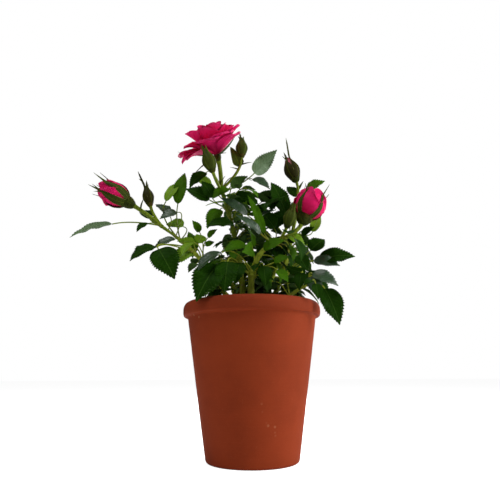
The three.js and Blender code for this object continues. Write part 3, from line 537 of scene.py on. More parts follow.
class Skin:
    """One mesh gathered from closed surfaces. Each is a grid of rings, and each of its two ends is
    drawn together to a point."""

    def __init__(self, tiles=None):
        self.tiles = tiles          # how many tiles the UV map has across and up
        self.points = []
        self.corners = []
        self.sizes = []
        self.slots = []
        self.maps = []
        self.count = 0

    def add(self, rings, start=None, end=None, slot=0, places=None, tile=None):
        """rings is rows x columns x 3, going round anticlockwise as seen from the end. places is
        rows x columns x 2 within a tile, and tile gives each column of faces its own."""
        rows, columns = rings.shape[:2]
        start = rings[0].mean(0) if start is None else start
        end = rings[-1].mean(0) if end is None else end
        index = self.count + np.arange(rows * columns).reshape(rows, columns)
        beside = np.roll(index, -1, 1)
        first = self.count + rows * columns
        quads = np.stack([index[:-1], beside[:-1], beside[1:], index[1:]], -1).reshape(-1, 4)
        low = np.stack([np.full(columns, first), beside[0], index[0]], -1)
        high = np.stack([index[-1], beside[-1], np.full(columns, first + 1)], -1)
        self.points.append(np.vstack([rings.reshape(-1, 3), start, end]))
        self.corners += [quads.ravel(), low.ravel(), high.ravel()]
        self.sizes += [np.full(len(quads), 4), np.full(columns * 2, 3)]
        self.slots.append(np.full(len(quads) + 2 * columns, slot))
        self.count += rows * columns + 2
        if self.tiles is None:
            return
        across = np.roll(places, -1, 1)
        pole = np.full((columns, 2), 0.5)
        pole[:, 0] = places[0, 0, 0]
        tip = np.full((columns, 2), 0.5)
        tip[:, 0] = places[-1, 0, 0]
        shift = np.array(tile, float)
        body = np.stack([places[:-1], across[:-1], across[1:], places[1:]], 2)
        ends = [np.stack([pole, across[0], places[0]], 1),
                np.stack([places[-1], across[-1], tip], 1)]
        for part in [body] + ends:
            spread = 0.02 + 0.96 * part + shift[..., :, None, :]
            self.maps.append((spread / np.array(self.tiles)).reshape(-1, 2))

    def build(self, name, materials, crease=50):
        mesh = bpy.data.meshes.new(name)
        points = np.vstack(self.points) * MM
        corners = np.concatenate(self.corners)
        sizes = np.concatenate(self.sizes)
        mesh.vertices.add(len(points))
        mesh.vertices.foreach_set("co", points.ravel())
        mesh.loops.add(len(corners))
        mesh.loops.foreach_set("vertex_index", corners)
        mesh.polygons.add(len(sizes))
        mesh.polygons.foreach_set("loop_start", np.cumsum(sizes) - sizes)
        mesh.polygons.foreach_set("material_index", np.concatenate(self.slots))
        mesh.update(calc_edges=True)
        if self.tiles is not None:
            layer = mesh.uv_layers.new(name="OFBake")
            layer.data.foreach_set("uv", np.vstack(self.maps).ravel())
        for material in materials:
            mesh.materials.append(material)
        mesh.validate()
        mesh.shade_smooth()
        mesh.set_sharp_from_angle(angle=math.radians(crease))
        piece = bpy.data.objects.new(name, mesh)
        bpy.context.scene.collection.objects.link(piece)
        return piece


def tube(curve, stations, radii, sides, spare=(0, 1, 0)):
    """A ring stood square on a bent line at each station. radii is rows x sides or rows x 1."""
    middle = bent(curve, stations)[:, None]
    along = slope(curve, stations)
    side = facing(along, np.array(spare, float))
    other = np.cross(along, side)
    angle = np.linspace(0, 2 * np.pi, sides, endpoint=False)[None, :, None]
    ring = np.cos(angle) * side[:, None] + np.sin(angle) * other[:, None]
    return middle + ring * np.asarray(radii)[..., None]


def spun(profile, sides):
    """A profile of radius and height spun about the upright axis."""
    profile = np.asarray(profile, float)
    angle = np.linspace(0, 2 * np.pi, sides, endpoint=False)
    rings = profile[:, 0, None, None] * heading(np.degrees(angle), 0)[None]
    rings[..., 2] = profile[:, 1, None]
    return rings


def both_faces(columns):
    """Places across a thin blade as a closed ring: over its upper face and back under it. Gives the
    place from 1 to -1, the face (1 upper, -1 lower), and the tile row of each column of faces."""
    over = np.linspace(1, -1, columns)
    under = over[-2:0:-1]
    across = np.concatenate([over, under])
    level = np.concatenate([np.ones(columns), -np.ones(columns - 2)]) * (1 - np.abs(across) ** 3)
    rows = np.concatenate([np.zeros(columns - 1), np.ones(columns - 1)])
    return across, level, rows


def blade_places(along, across, half):
    """Where a blade's points lie in their tile: how far along it, and across it by its width."""
    wide = 0.5 + 0.5 * across * (half / half.max())[:, None]
    return np.stack([np.broadcast_to(along[:, None], wide.shape), wide], -1)


def tile_of(rows, column=0):
    """The tile of each column of faces: all in one column, the two faces in a row each."""
    return np.stack([np.full(len(rows), float(column)), rows], -1)


def rounded(profile, corner, steps=4):
    """A profile with each corner cut back by `corner` and rounded by a bent line."""
    profile = np.asarray(profile, float)
    out = [profile[:1]]
    for before, here, after in zip(profile[:-2], profile[1:-1], profile[2:]):
        back, on = before - here, after - here
        cut = min(corner, 0.45 * np.linalg.norm(back), 0.45 * np.linalg.norm(on))
        ends = np.array([here + cut * unit(back), here, here + cut * unit(on)])
        out.append(bent(ends, np.linspace(0, 1, steps)))
    out.append(profile[-1:])
    return np.vstack(out)


# ---- Finishes ----

class Value:
    """A node's socket. Sums, differences and products of it add Math nodes."""

    def __init__(self, finish, socket):
        self.finish = finish
        self.socket = socket

    def _math(self, operation, *inputs):
        return self.finish.add("ShaderNodeMath", {"operation": operation},
                               dict(enumerate(inputs)))

    def __add__(self, other):
        return self._math("ADD", self, other)

    def __radd__(self, other):
        return self._math("ADD", other, self)

    def __sub__(self, other):
        return self._math("SUBTRACT", self, other)

    def __rsub__(self, other):
        return self._math("SUBTRACT", other, self)

    def __mul__(self, other):
        return self._math("MULTIPLY", self, other)

    def __rmul__(self, other):
        return self._math("MULTIPLY", other, self)

    def size(self):
        return self._math("ABSOLUTE", self)

    def part(self):
        return self._math("FRACT", self)

    def over(self, limit):
        return self._math("GREATER_THAN", self, limit)

    def ramp(self, low, high):
        """0 below low, 1 above high, and an even S between."""
        return self.finish.add("ShaderNodeMapRange", {"interpolation_type": "SMOOTHSTEP"},
                               {"Value": self, "From Min": low, "From Max": high})


class Finish:
    """A material. `add` puts in any node; the other calls are for the nodes used most."""

    def __init__(self, name):
        self.material = bpy.data.materials.new(name)
        self.material.use_nodes = True
        self.tree = self.material.node_tree
        self.shader = self.tree.nodes["Principled BSDF"]

    def set(self, node, key, value):
        socket = node.inputs[key]
        if isinstance(value, Value):
            self.tree.links.new(value.socket, socket)
        else:
            if hasattr(socket.default_value, "__len__") and len(value) == 3 \
                    and len(socket.default_value) == 4:
                value = (*value, 1)
            socket.default_value = value

    def add(self, kind, settings=None, inputs=None, output=0):
        """Any node: its type, its settings, the values or links of its sockets, and which output
        is wanted."""
        node = self.tree.nodes.new(kind)
        for key, value in (settings or {}).items():
            setattr(node, key, value)
        for key, value in (inputs or {}).items():
            self.set(node, key, value)
        return Value(self, node.outputs[output])

    def mix(self, share, a, b, blend="MIX"):
        return self.add("ShaderNodeMix", {"data_type": "RGBA", "blend_type": blend},
                        {0: share, 6: a, 7: b}, 2)

    def place(self):
        return self.add("ShaderNodeTexCoord", output="Object")

    def sheet(self):
        """The piece's own UV map."""
        return self.add("ShaderNodeUVMap", {"uv_map": "OFBake"})

    def axes(self, place):
        node = self.tree.nodes.new("ShaderNodeSeparateXYZ")
        self.set(node, 0, place)
        return [Value(self, socket) for socket in node.outputs]

    def noise(self, place, scale, detail=3, roughness=0.5):
        return self.add("ShaderNodeTexNoise", None,
                        {"Vector": place, "Scale": scale, "Detail": detail,
                         "Roughness": roughness})

    def stretched(self, place, scale):
        return self.add("ShaderNodeVectorMath", {"operation": "MULTIPLY"}, {0: place, 1: scale})

    def bump(self, height, strength, distance):
        return self.add("ShaderNodeBump", None,
                        {"Height": height, "Strength": strength, "Distance": distance})

    def finish(self, **inputs):
        for key, value in inputs.items():
            self.set(self.shader, key.replace("_", " "), value)
        return self.material


def tile_place(finish, tiles):
    """Where a point lies within its tile of the UV map: along, across, and the tile's row."""
    along, up, _ = finish.axes(finish.sheet())
    return (along * tiles[0]).part(), (up * tiles[1]).part(), (up * tiles[1] - 1).over(0)


def clay_finish(name, colours):
    f = Finish(name)
    place = f.place()
    cloud = f.noise(place, 22, 4, 0.6)
    grain = f.noise(place, 900, 3, 0.7)
    rings = f.noise(f.stretched(place, (12, 12, 420)), 1, 3, 0.6)
    _, _, height = f.axes(place)
    flecks = f.add("ShaderNodeTexVoronoi", {"feature": "F1"}, {"Vector": place, "Scale": 210})
    pick = f.noise(place, 33, 1, 0.5)
    pale = (1 - flecks.ramp(0.1, 0.3)) * pick.ramp(0.66, 0.72)
    band = height.ramp(0.1165, 0.119)
    # Cloudy patches lighten the clay, and from 116.5 mm up the whole rim band is darker.
    lighter_share = (cloud * 0.9 + grain * 0.25 - band * 0.22).ramp(0.1, 0.85)
    colour = f.mix(lighter_share, colours.clay_deep, colours.clay)
    colour = f.mix((grain.ramp(0.62, 0.8)) * 0.25, colour, colours.clay_pale)
    colour = f.mix(pale * 0.5, colour, colours.clay_pale)
    bump = f.bump(grain * 0.35 + rings * 0.65, 0.35, 0.0004)
    return f.finish(Base_Color=colour, Roughness=0.86 - cloud * 0.12, Normal=bump,
                    Specular_IOR_Level=0.12)


def compost_finish(name, colours):
    f = Finish(name)
    place = f.place()
    lumps = f.noise(place, 260, 5, 0.7)
    fine = f.noise(place, 1400, 3, 0.7)
    colour = f.mix(lumps.ramp(0.35, 0.7), colours.compost, colours.compost_dry)
    bump = f.bump(lumps * 0.7 + fine * 0.3, 0.9, 0.0012)
    return f.finish(Base_Color=colour, Roughness=0.85 + fine * 0.12, Normal=bump)


def crumb_finish(name, dark, pale):
    f = Finish(name)
    place = f.place()
    fine = f.noise(place, 900, 4, 0.7)
    colour = f.mix(fine.ramp(0.35, 0.7), dark, pale)
    return f.finish(Base_Color=colour, Roughness=0.75 + fine * 0.2,
                    Normal=f.bump(fine, 0.7, 0.0005))


def cane_finish(name, colours):
    f = Finish(name)
    place = f.place()
    streak = f.noise(f.stretched(place, (700, 700, 90)), 1, 4, 0.6)
    blotch = f.noise(place, 55, 3, 0.5)
    _, _, height = f.axes(place)
    woody = 1 - (height + blotch * 0.03).ramp(0.128, 0.165)
    colour = f.mix(streak.ramp(0.3, 0.75), colours.cane_deep, colours.cane)
    # Below 160 mm the canes turn paler and yellower: partly their own colour, partly painted light that
    # lifts them out of the leaves' shade.
    colour = f.mix(height.ramp(0.16, 0.2), f.mix(streak.ramp(0.2, 0.7), colours.cane,
                                                colours.cane_low_pale_and_lit), colour)
    colour = f.mix(blotch.ramp(0.55, 0.75) * 0.45, colour, colours.cane_red)
    colour = f.mix(woody * 0.6, colour, colours.cane_brown)
    return f.finish(Base_Color=colour, Roughness=0.42 + woody * 0.3 + streak * 0.1,
                    Normal=f.bump(streak, 0.35, 0.0004), Specular_IOR_Level=0.1)


def prickle_finish(name, colours):
    f = Finish(name)
    tip = f.noise(f.place(), 300, 2, 0.5)
    colour = f.mix(tip.ramp(0.3, 0.7), colours.cane_red, colours.prickle)
    return f.finish(Base_Color=colour, Roughness=0.35 + tip * 0.1)


def leaf_finish(name, upper, under, vein, gloss, shine):
    """Side veins leave the midrib at a slant, so they are even steps of t less the distance from
    the midrib. The blade swells between them, and the lower face is paler and dull."""
    f = Finish(name)
    along, across, lower = tile_place(f, (4, 2))
    off = (across - 0.5).size() * 2
    rib = 1 - off.ramp(0.012, 0.05)
    step = ((along - off * 0.34) * 8.5).part()
    line = 1 - ((step - 0.5).size() * 2).ramp(0.0, 0.22)
    line = line * (1 - off.ramp(0.7, 0.98)) * along.ramp(0.03, 0.12)
    net = f.noise(f.sheet(), 130, 3, 0.6)
    patch = f.noise(f.sheet(), 14, 2, 0.5)
    lines = rib * 0.42 + line * 0.12
    top = f.mix(patch.ramp(0.3, 0.75) * 0.5, upper, tuple(c * 0.62 for c in upper))
    top = f.mix(net.ramp(0.55, 0.75) * 0.16, top, vein)
    top = f.mix(lines, top, vein)
    low = f.mix(net.ramp(0.4, 0.7) * 0.4, under, tuple(c * 0.75 for c in under))
    low = f.mix(lines * 0.8, low, vein)
    colour = f.mix(lower, top, low)
    height = ((step - 0.5).size() * 2).ramp(0, 1) * 0.35 + net * 0.25 - rib * 0.8
    rough = gloss + net * 0.12 + lower * 0.22
    return f.finish(Base_Color=colour, Roughness=rough, Normal=f.bump(height, 0.4, 0.0005),
                    Specular_IOR_Level=shine)


def petal_finish(name, colours, edge_share):
    """Fine veins fan out from the foot. The rim is paler, and the foot and the inner face deeper."""
    f = Finish(name)
    along, _, lower = tile_place(f, (1, 2))
    place = f.sheet()
    fan = f.noise(f.stretched(place, (2.2, 60, 0)), 1, 3, 0.6)
    cloud = f.noise(place, 5, 2, 0.5)
    foot = 1 - along.ramp(0.08, 0.62)
    rim = (along + cloud * 0.08).ramp(0.86, 1.02)
    inner = f.mix(foot, colours.petal_inner, colours.petal_foot)
    outer = f.mix(foot * 0.85, colours.petal, colours.petal_deep)
    colour = f.mix(lower, inner, outer)
    colour = f.mix(rim * edge_share, colour, colours.petal_rim)
    colour = f.mix(fan.ramp(0.45, 0.75) * 0.3, colour, colours.petal_deep)
    return f.finish(Base_Color=colour, Roughness=0.5 + cloud * 0.1,
                    Normal=f.bump(fan, 0.12, 0.0004), Specular_IOR_Level=0.04,
                    Subsurface_Weight=0.08, Subsurface_Scale=0.002,
                    Subsurface_Radius=(1, 0.3, 0.5))


def sepal_finish(name, upper, deep, colours):
    """Green with a darker middle and a pale margin, which is partly a downy edge and partly painted
    highlight.
    """
    f = Finish(name)
    _, across, _ = tile_place(f, (2, 2))
    off = (across - 0.5).size() * 2
    downy = f.noise(f.stretched(f.sheet(), (40, 90, 0)), 1, 3, 0.6)
    margin = (off + downy * 0.14).ramp(0.93, 1.02)
    middle = 1 - off.ramp(0.02, 0.12)
    colour = f.mix(downy.ramp(0.4, 0.7) * 0.6, upper, deep)
    colour = f.mix(middle * 0.2, colour, colours.cane)
    # The pale margin is partly a downy edge and partly painted highlight along the sepal's edge.
    colour = f.mix(margin * 0.65, colour, colours.sepal_rim)
    return f.finish(Base_Color=colour, Roughness=0.5 + downy * 0.15,
                    Normal=f.bump(downy, 0.25, 0.0003), Specular_IOR_Level=0.04)


def bud_finish(name, colours):
    f = Finish(name)
    place = f.place()
    streak = f.noise(f.stretched(place, (500, 500, 130)), 1, 4, 0.6)
    blush = f.noise(place, 80, 2, 0.5)
    colour = f.mix(streak.ramp(0.35, 0.7), colours.sepal_deep, colours.sepal)
    colour = f.mix(blush.ramp(0.5, 0.75) * 0.4, colour, colours.cane_red)
    return f.finish(Base_Color=colour, Roughness=0.42 + streak * 0.15,
                    Normal=f.bump(streak, 0.3, 0.0003), Specular_IOR_Level=0.04)


def floor_finish(name, colours):
    f = Finish(name)
    cloud = f.noise(f.place(), 3, 2, 0.5)
    colour = f.mix(cloud * 0.2, colours.floor, tuple(c * 0.985 for c in colours.floor))
    glow = f.mix(f.add("ShaderNodeLightPath"), (0, 0, 0), (1, 1, 1))
    return f.finish(Base_Color=colour, Roughness=0.9, Emission_Color=glow,
                    Emission_Strength=0.82)


# ---- Settings ----

def length_setting(name, description, default):
    return bpy.props.FloatProperty(name=name, description=description, default=default, min=0,
                                   subtype="DISTANCE", unit="LENGTH", precision=5)


def colour_setting(name, description, default):
    return bpy.props.FloatVectorProperty(name=name, description=description, default=default,
                                         size=3, min=0, max=1, subtype="COLOR")


class RosePotSizes(bpy.types.PropertyGroup):
    height: length_setting("Pot height", "Height of the pot", 0.129)
    foot: length_setting("Foot radius", "Outer radius at the underside", 0.0385)
    neck: length_setting("Neck radius", "Outer radius just under the rim band", 0.0558)
    rim_low: length_setting("Rim start", "Height of the rim band's lower edge", 0.117)
    rim: length_setting("Rim radius", "Outer radius of the rim band", 0.06)
    lip: length_setting("Lip radius", "Outer edge of the top lip", 0.0568)
    wall: length_setting("Wall", "Thickness of the wall", 0.0056)
    floor: length_setting("Floor", "Thickness of the floor", 0.0075)
    drain: length_setting("Drain radius", "Radius of a drain hole", 0.0045)
    drain_ring: length_setting("Drain ring", "Distance of the drain holes from the axis", 0.02)
    soil: length_setting("Soil level", "Height of the compost", 0.118)


class RosePlantSizes(bpy.types.PropertyGroup):
    twig: length_setting("Twig radius", "Radius of a leaf's stalk", 0.00062)
    leaf_thickness: length_setting("Leaf thickness", "Thickness at the midrib", 0.00045)
    petal_thickness: length_setting("Petal thickness", "Thickness of a petal", 0.0005)
    teeth: bpy.props.IntProperty(name="Teeth", description="Teeth along a large leaflet's edge",
                                 default=16, min=4, max=30)
    cane_sides: bpy.props.IntProperty(name="Cane sides", description="Faces round a cane",
                                      default=14, min=6, max=40)


class RoseColours(bpy.types.PropertyGroup):
    clay: colour_setting("Clay", "Fired clay", (0.27, 0.037, 0.008))
    clay_deep: colour_setting("Deep clay", "Darker clay", (0.19, 0.025, 0.006))
    clay_pale: colour_setting("Pale clay", "Lime specks in the clay", (0.42, 0.16, 0.08))
    compost: colour_setting("Compost", "Moist compost", (0.012, 0.007, 0.004))
    compost_dry: colour_setting("Dry compost", "Dry crumbs", (0.045, 0.025, 0.014))
    bark_chip: colour_setting("Bark chip", "Chips in the compost", (0.11, 0.055, 0.026))
    cane: colour_setting("Cane", "Green cane", (0.19, 0.26, 0.016))
    # Paler lower cane: partly its own yellower colour, partly painted light against the shade of the
    # leaves.
    cane_low_pale_and_lit: colour_setting("Lower cane, partly painted light", "Paler, yellower bark low on the canes", (0.34, 0.40, 0.035))
    cane_deep: colour_setting("Deep cane", "Darker streaks", (0.08, 0.12, 0.006))
    cane_red: colour_setting("Cane blush", "Reddish tint", (0.19, 0.085, 0.018))
    cane_brown: colour_setting("Woody cane", "Old wood at the foot", (0.13, 0.10, 0.02))
    prickle: colour_setting("Prickle", "Prickles", (0.36, 0.26, 0.10))
    # Dark leaf: partly painted shade, darkened to stand for the shade inside the crowded crown.
    leaf_dark: colour_setting("Dark leaf", "Darkest leaves, partly painted shade", (0.0085, 0.036, 0.0006))
    leaf_mid: colour_setting("Leaf", "Most leaves", (0.042, 0.120, 0.0020))
    # Bright leaf: a painted backlit glow, not a leaf's own colour.
    leaf_backlit_glow: colour_setting("Bright leaf", "Painted backlit glow", (0.15, 0.29, 0.010))
    # Grey leaf: glossier, and its greyed colour is partly painted sheen.
    leaf_grey: colour_setting("Grey leaf", "Greyed leaves, partly painted sheen", (0.022, 0.052, 0.020))
    leaf_under: colour_setting("Leaf underside", "Lower faces", (0.050, 0.105, 0.022))
    leaf_pale: colour_setting("Pale underside", "Lower faces of grey leaves",
                              (0.085, 0.150, 0.060))
    vein: colour_setting("Vein", "Veins of the leaves", (0.055, 0.125, 0.016))
    petal: colour_setting("Petal", "Outer face of a petal", (0.72, 0.014, 0.13))
    petal_inner: colour_setting("Petal inside", "Inner face of a petal", (0.78, 0.012, 0.13))
    petal_deep: colour_setting("Deep petal", "Shaded petals", (0.40, 0.004, 0.038))
    petal_foot: colour_setting("Petal foot", "Foot of a petal, inside", (0.42, 0.0, 0.018))
    petal_rim: colour_setting("Petal rim", "Paler rim of a petal", (0.66, 0.035, 0.16))
    sepal: colour_setting("Sepal", "Hips and sepals", (0.040, 0.056, 0.006))
    sepal_deep: colour_setting("Deep sepal", "Darker sepals", (0.017, 0.023, 0.003))
    sepal_red: colour_setting("Red sepal", "Red tinge of the dark sepals", (0.050, 0.018, 0.008))
    # Sepal margin: partly downy edge, partly painted highlight.
    sepal_rim: colour_setting("Sepal margin", "Pale margin of a sepal, partly painted highlight", (0.34, 0.33, 0.12))
    floor: colour_setting("Floor", "Studio floor", (0.9, 0.9, 0.9))


def settings():
    scene = bpy.context.scene
    return scene.rose_pot, scene.rose_plant, scene.rose_colours


def soil_level():
    return settings()[0].soil / MM


def shown(piece, slot, *nodes):
    """Puts a finished piece on the part's one body, for its solids, and hides them. The slot is not
    used.
    """
    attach(piece, "root")
    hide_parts(*nodes)
    return piece


def finish_named(name, make, *details):
    """The finish of that name, made the first time it is asked for."""
    return bpy.data.materials.get(name) or make(name, *details)


_grown = {}


def grown_leaves():
    """The leaves, grown once for all the pieces that show them."""
    if "leaves" not in _grown:
        _grown["leaves"] = grow(soil_level())
    return _grown["leaves"]


# ---- Pot and compost ----

def pot_piece(pot, colours):
    """The pot's profile spun about its axis. Its corners are rounded, its wall is a trace uneven
    as if thrown by hand, and three drain holes are cut through its floor."""
    height, foot, neck, low = (v / MM for v in (pot.height, pot.foot, pot.neck, pot.rim_low))
    rim, lip, wall, floor = (v / MM for v in (pot.rim, pot.lip, pot.wall, pot.floor))

    def inner(at):
        return foot - wall + (neck - foot) * at / low

    steps = np.linspace(0, 1, 16)[1:-1, None]
    outside = np.array([foot, 1.4]) + steps * np.array([neck - foot, low - 3])
    inside = np.array([inner(low) + 0.4, low - 4]) \
        + steps * np.array([inner(floor) - inner(low) - 1.2, floor + 5 - low])
    profile = np.vstack([
        [[0, 0], [foot - 8, 0], [foot - 1.6, 0], [foot, 1.4]], outside,
        [[neck, low - 1.6], [neck + 0.7, low - 0.1], [rim - 0.6, low + 0.3], [rim, low + 2.2],
         [rim + 0.05, low + 5], [rim, height - 4.4], [rim - 1.1, height - 1.4], [lip, height],
         [lip - 2.6, height], [lip - 4.2, height - 1.6], [inner(low) + 1, low - 2]], inside,
        [[inner(floor) - 1, floor], [12, floor], [0, floor]]])
    profile = rounded(profile, 1.2)
    rings = spun(profile[1:-1], 160)
    angle = np.linspace(0, 2 * np.pi, 160, endpoint=False)[None]
    z = profile[1:-1, 1][:, None]
    wave = 0.10 * np.sin(2 * angle + z / 37) + 0.05 * np.sin(5 * angle - z / 19) \
        + 0.05 * np.sin(z / 1.9)
    away = np.clip(profile[1:-1, 0][:, None] / 30 - 0.6, 0, 1) * np.clip(z / 6, 0, 1)
    rings[..., :2] *= (1 + wave * away / 56)[..., None]
    skin = Skin()
    skin.add(rings, np.zeros(3), np.array([0, 0, floor]))
    piece = skin.build("clay_pot", [finish_named("Fired_clay", clay_finish, colours)])
    drill = Skin()
    radius = pot.drain / MM
    shaft = spun([(radius, -4), (radius, floor + 4)], 24)
    for index in range(DRAIN_HOLES):
        drill.add(shaft + heading(90 + 360 / DRAIN_HOLES * index, 0) * pot.drain_ring / MM)
    cutter = drill.build("drain_drill", [])
    hole = piece.modifiers.new("Drain holes", "BOOLEAN")
    hole.operation = "DIFFERENCE"
    hole.solver = "EXACT"
    hole.object = cutter
    with bpy.context.temp_override(object=piece, active_object=piece,
                                   selected_objects=[piece]):
        bpy.ops.object.modifier_apply(modifier=hole.name)
    bpy.data.objects.remove(cutter)
    piece.data.set_sharp_from_angle(angle=math.radians(40))
    return shown(piece, "clay", "pot")


def compost_height(x, y, soil):
    """Waves of several lengths added up, level with the soil near the middle, and sinking a
    little toward the wall."""
    r = np.hypot(x, y)
    lumps = (0.5 * np.sin(x / 3.1 + 1) * np.sin(y / 3.7) + 0.45 * np.sin(x / 1.9 - y / 2.3)
             + 0.35 * np.sin(x / 1.1 + y / 1.3 + 2) * np.sin(y / 0.9))
    return soil - 0.5 + lumps - 2.6 * np.clip((r - 26) / 25, 0, 1) ** 1.5


def compost_piece(pot, colours):
    """The compost: a spun wall that follows the pot's inside, closed by a lumpy top."""
    soil, low, floor = pot.soil / MM, pot.rim_low / MM, pot.floor / MM
    foot, neck, wall = pot.foot / MM, pot.neck / MM, pot.wall / MM

    def side(at):
        return foot - wall - 0.4 + (neck - foot) * at / low

    edge = side(low - 3)
    radii = np.concatenate([[side(floor) - 1, side(floor + 40)], np.linspace(edge, 1, 34)])
    heights = np.concatenate([[floor + 0.3, floor + 40], np.zeros(34)])
    rings = spun(np.stack([radii, heights], 1), 120)
    top = rings[2:]
    top[..., 2] = compost_height(top[..., 0], top[..., 1], soil)
    skin = Skin()
    skin.add(rings)
    piece = skin.build("compost_bed",
                       [finish_named("Moist_compost", compost_finish, colours)], 80)
    return shown(piece, "compost", "compost")


def crumb_piece(pot, colours):
    """Crumbs and bark chips: small spun lumps, each squashed and turned by its own numbers."""
    soil = pot.soil / MM
    numbers = Numbers(1907)
    skin = Skin()
    angle = np.linspace(0, 2 * np.pi, 6, endpoint=False)
    for index in range(420):
        away = 49 * math.sqrt(numbers.next())
        middle = heading(360 * numbers.next(), 0) * away
        middle[2] = compost_height(middle[0], middle[1], soil) + numbers.between((-0.2, 0.5))
        chip = index % 7 == 0
        size = numbers.between((1.6, 3.0)) if chip else numbers.between((0.5, 1.5))
        flat = 0.35 if chip else 0.75
        up = unit(np.array([numbers.spread(0.5), numbers.spread(0.5), 1]))
        side = facing(up, heading(360 * numbers.next(), 0))
        other = np.cross(up, side)
        rings = []
        for radius, level in ((0.75, -0.6), (1, 0.05), (0.6, 0.7)):
            reach = radius * (1 + 0.25 * np.sin(angle * 2 + numbers.next() * 6))
            ring = (np.cos(angle) * reach)[:, None] * side * (1.5 if chip else 1) \
                + (np.sin(angle) * reach)[:, None] * other + level * flat * up
            rings.append(middle + size * ring)
        rings = np.array(rings)
        skin.add(rings, middle - up * size * flat, middle + up * size * flat,
                 slot=1 if chip else 0)
    piece = skin.build("compost_crumbs", [
        finish_named("Compost_crumb", crumb_finish, colours.compost, colours.compost_dry),
        finish_named("Bark_chip", crumb_finish, colours.compost_dry, colours.bark_chip)], 30)
    return shown(piece, "compost", "compost")


# ---- Canes ----

def cane_piece(plant, colours):
    """Each cane is a ring carried up its shoot. Its radius falls toward the tip, flares at the
    foot, swells where each leaf leaves it, and is ribbed by waves round and along it."""
    soil = soil_level()
    leaves = grown_leaves()
    sides = plant.cane_sides
    angle = np.linspace(0, 2 * np.pi, sides, endpoint=False)[None]
    skin = Skin()
    for name, shoot in SHOOTS.items():
        curve = shoot_curve(name, soil)
        split, radius = shoot["split"], shoot["radius"]
        s = np.linspace(-0.02, 1, 110)
        share = np.clip(s / split, 0, 1)
        lower = 1 - 0.22 * share + 0.55 * np.exp(-share / 0.09)
        upper = 0.76 - 0.28 * np.clip((s - split) / (1 - split), 0, 1)
        width = radius * np.where(s < split, lower, upper)
        for leaf in leaves:
            if leaf["shoot"] == name:
                width = width + 0.16 * radius * np.exp(-((s - leaf["at"]) / 0.014) ** 2) \
                    * (0.6 if len(leaf["kept"]) < 2 else 1)
        width = width[:, None]
        ribs = 1 + 0.035 * np.sin(5 * angle + 9 * s[:, None]) \
            + 0.025 * np.sin(3 * angle - 70 * s[:, None]) + 0.012 * np.sin(170 * s[:, None])
        rings = tube(curve, s, width * ribs, sides)
        skin.add(rings)
    piece = skin.build("canes", [finish_named("Green_cane_bark", cane_finish, colours)])
    return shown(piece, "cane", *[f"cane_{name}" for name in SHOOTS])


def stalk_rings(curve, radius, rows, sides, taper=0.25):
    """A thin stalk: a ring carried along a bent line, its radius falling evenly by the taper."""
    s = np.linspace(0, 1, rows)
    return tube(curve, s, (radius * (1.1 - taper * s))[:, None], sides,
                (0, 0, 1) if abs(slope(curve, 0.5)[2]) < 0.8 else (0, 1, 0))


def twig_piece(plant, colours):
    """Stalks of leaves and flowers, each a ring carried along its bent line, and the short stalk
    under each side leaflet."""
    soil = soil_level()
    twig = plant.twig / MM
    skin = Skin()
    for leaf in grown_leaves():
        big = 1.0 if leaf["blades"][0]["length"] > 24 else 0.8
        skin.add(stalk_rings(leaf["stalk"], twig * big, 14, 8))
        for blade in leaf["kept"]:
            if blade["end"]:
                continue
            foot = bent(leaf["stalk"], blade["place"])
            short = np.array([foot, foot * 0.4 + blade["base"] * 0.6,
                              midrib(blade, np.array(0.06))])
            skin.add(stalk_rings(short, twig * 0.7, 4, 6, 0.3))
    for flower in FLOWERS:
        curve = flower_stalk(flower, soil)
        radius = STALK_RADIUS[flower["kind"]]
        s = np.linspace(0, 1, 24)
        width = radius * (1 + 0.25 * np.clip(s - 0.85, 0, 1) / 0.15)
        skin.add(tube(curve, s, width[:, None], 10, (0, 1, 0)))
    piece = skin.build("twigs", [finish_named("Green_cane_bark", cane_finish, colours)])
    return shown(piece, "cane", *[f"leaves_{name}" for name in SHOOTS])


def flower_stalk(flower, soil):
    """A bent line from just under the shoot's tip that reaches the hip along the flower's axis."""
    curve = shoot_curve(flower["shoot"], soil)
    base = np.array(flower["base"], float)
    axis = heading(flower["azimuth"], flower["rise"])
    return arriving(curve[2] - slope(curve, 1) * 2, base + axis * 1.5, axis)


def prickle_piece(colours):
    """Prickles: flat cones that lean down the cane, spread along it at a slowly turning angle."""
    soil = soil_level()
    numbers = Numbers(811)
    skin = Skin()
    for name, shoot in SHOOTS.items():
        curve = shoot_curve(name, soil)
        count = int(np.linalg.norm(curve[2] - curve[0]) / 9)
        for index in range(count):
            at = 0.06 + 0.86 * (index + numbers.next() * 0.7) / count
            along = slope(curve, at)
            side = turned(facing(along, np.array([1.0, 0, 0])), along,
                          137.5 * index + numbers.spread(25))
            share = 1 - 0.45 * at
            size = numbers.between((2.0, 3.4)) * share
            foot = bent(curve, at) + side * shoot["radius"] * 0.55 * share
            tip = foot + side * size - along * size * 0.45
            line = np.array([foot, foot + side * size * 0.6, tip])
            s = np.linspace(0, 0.93, 5)
            width = size * 0.32 * (1 - s) ** 1.3
            rings = tube(line, s, width[:, None], 6, along)
            middle = bent(line, s)[:, None]
            rings = rings + along * ((rings - middle) @ along)[..., None] * 0.9
            skin.add(rings, end=tip)
    piece = skin.build("prickles", [finish_named("Prickle", prickle_finish, colours)])
    return shown(piece, "cane", *[f"cane_{name}" for name in SHOOTS])


# ---- Leaves ----

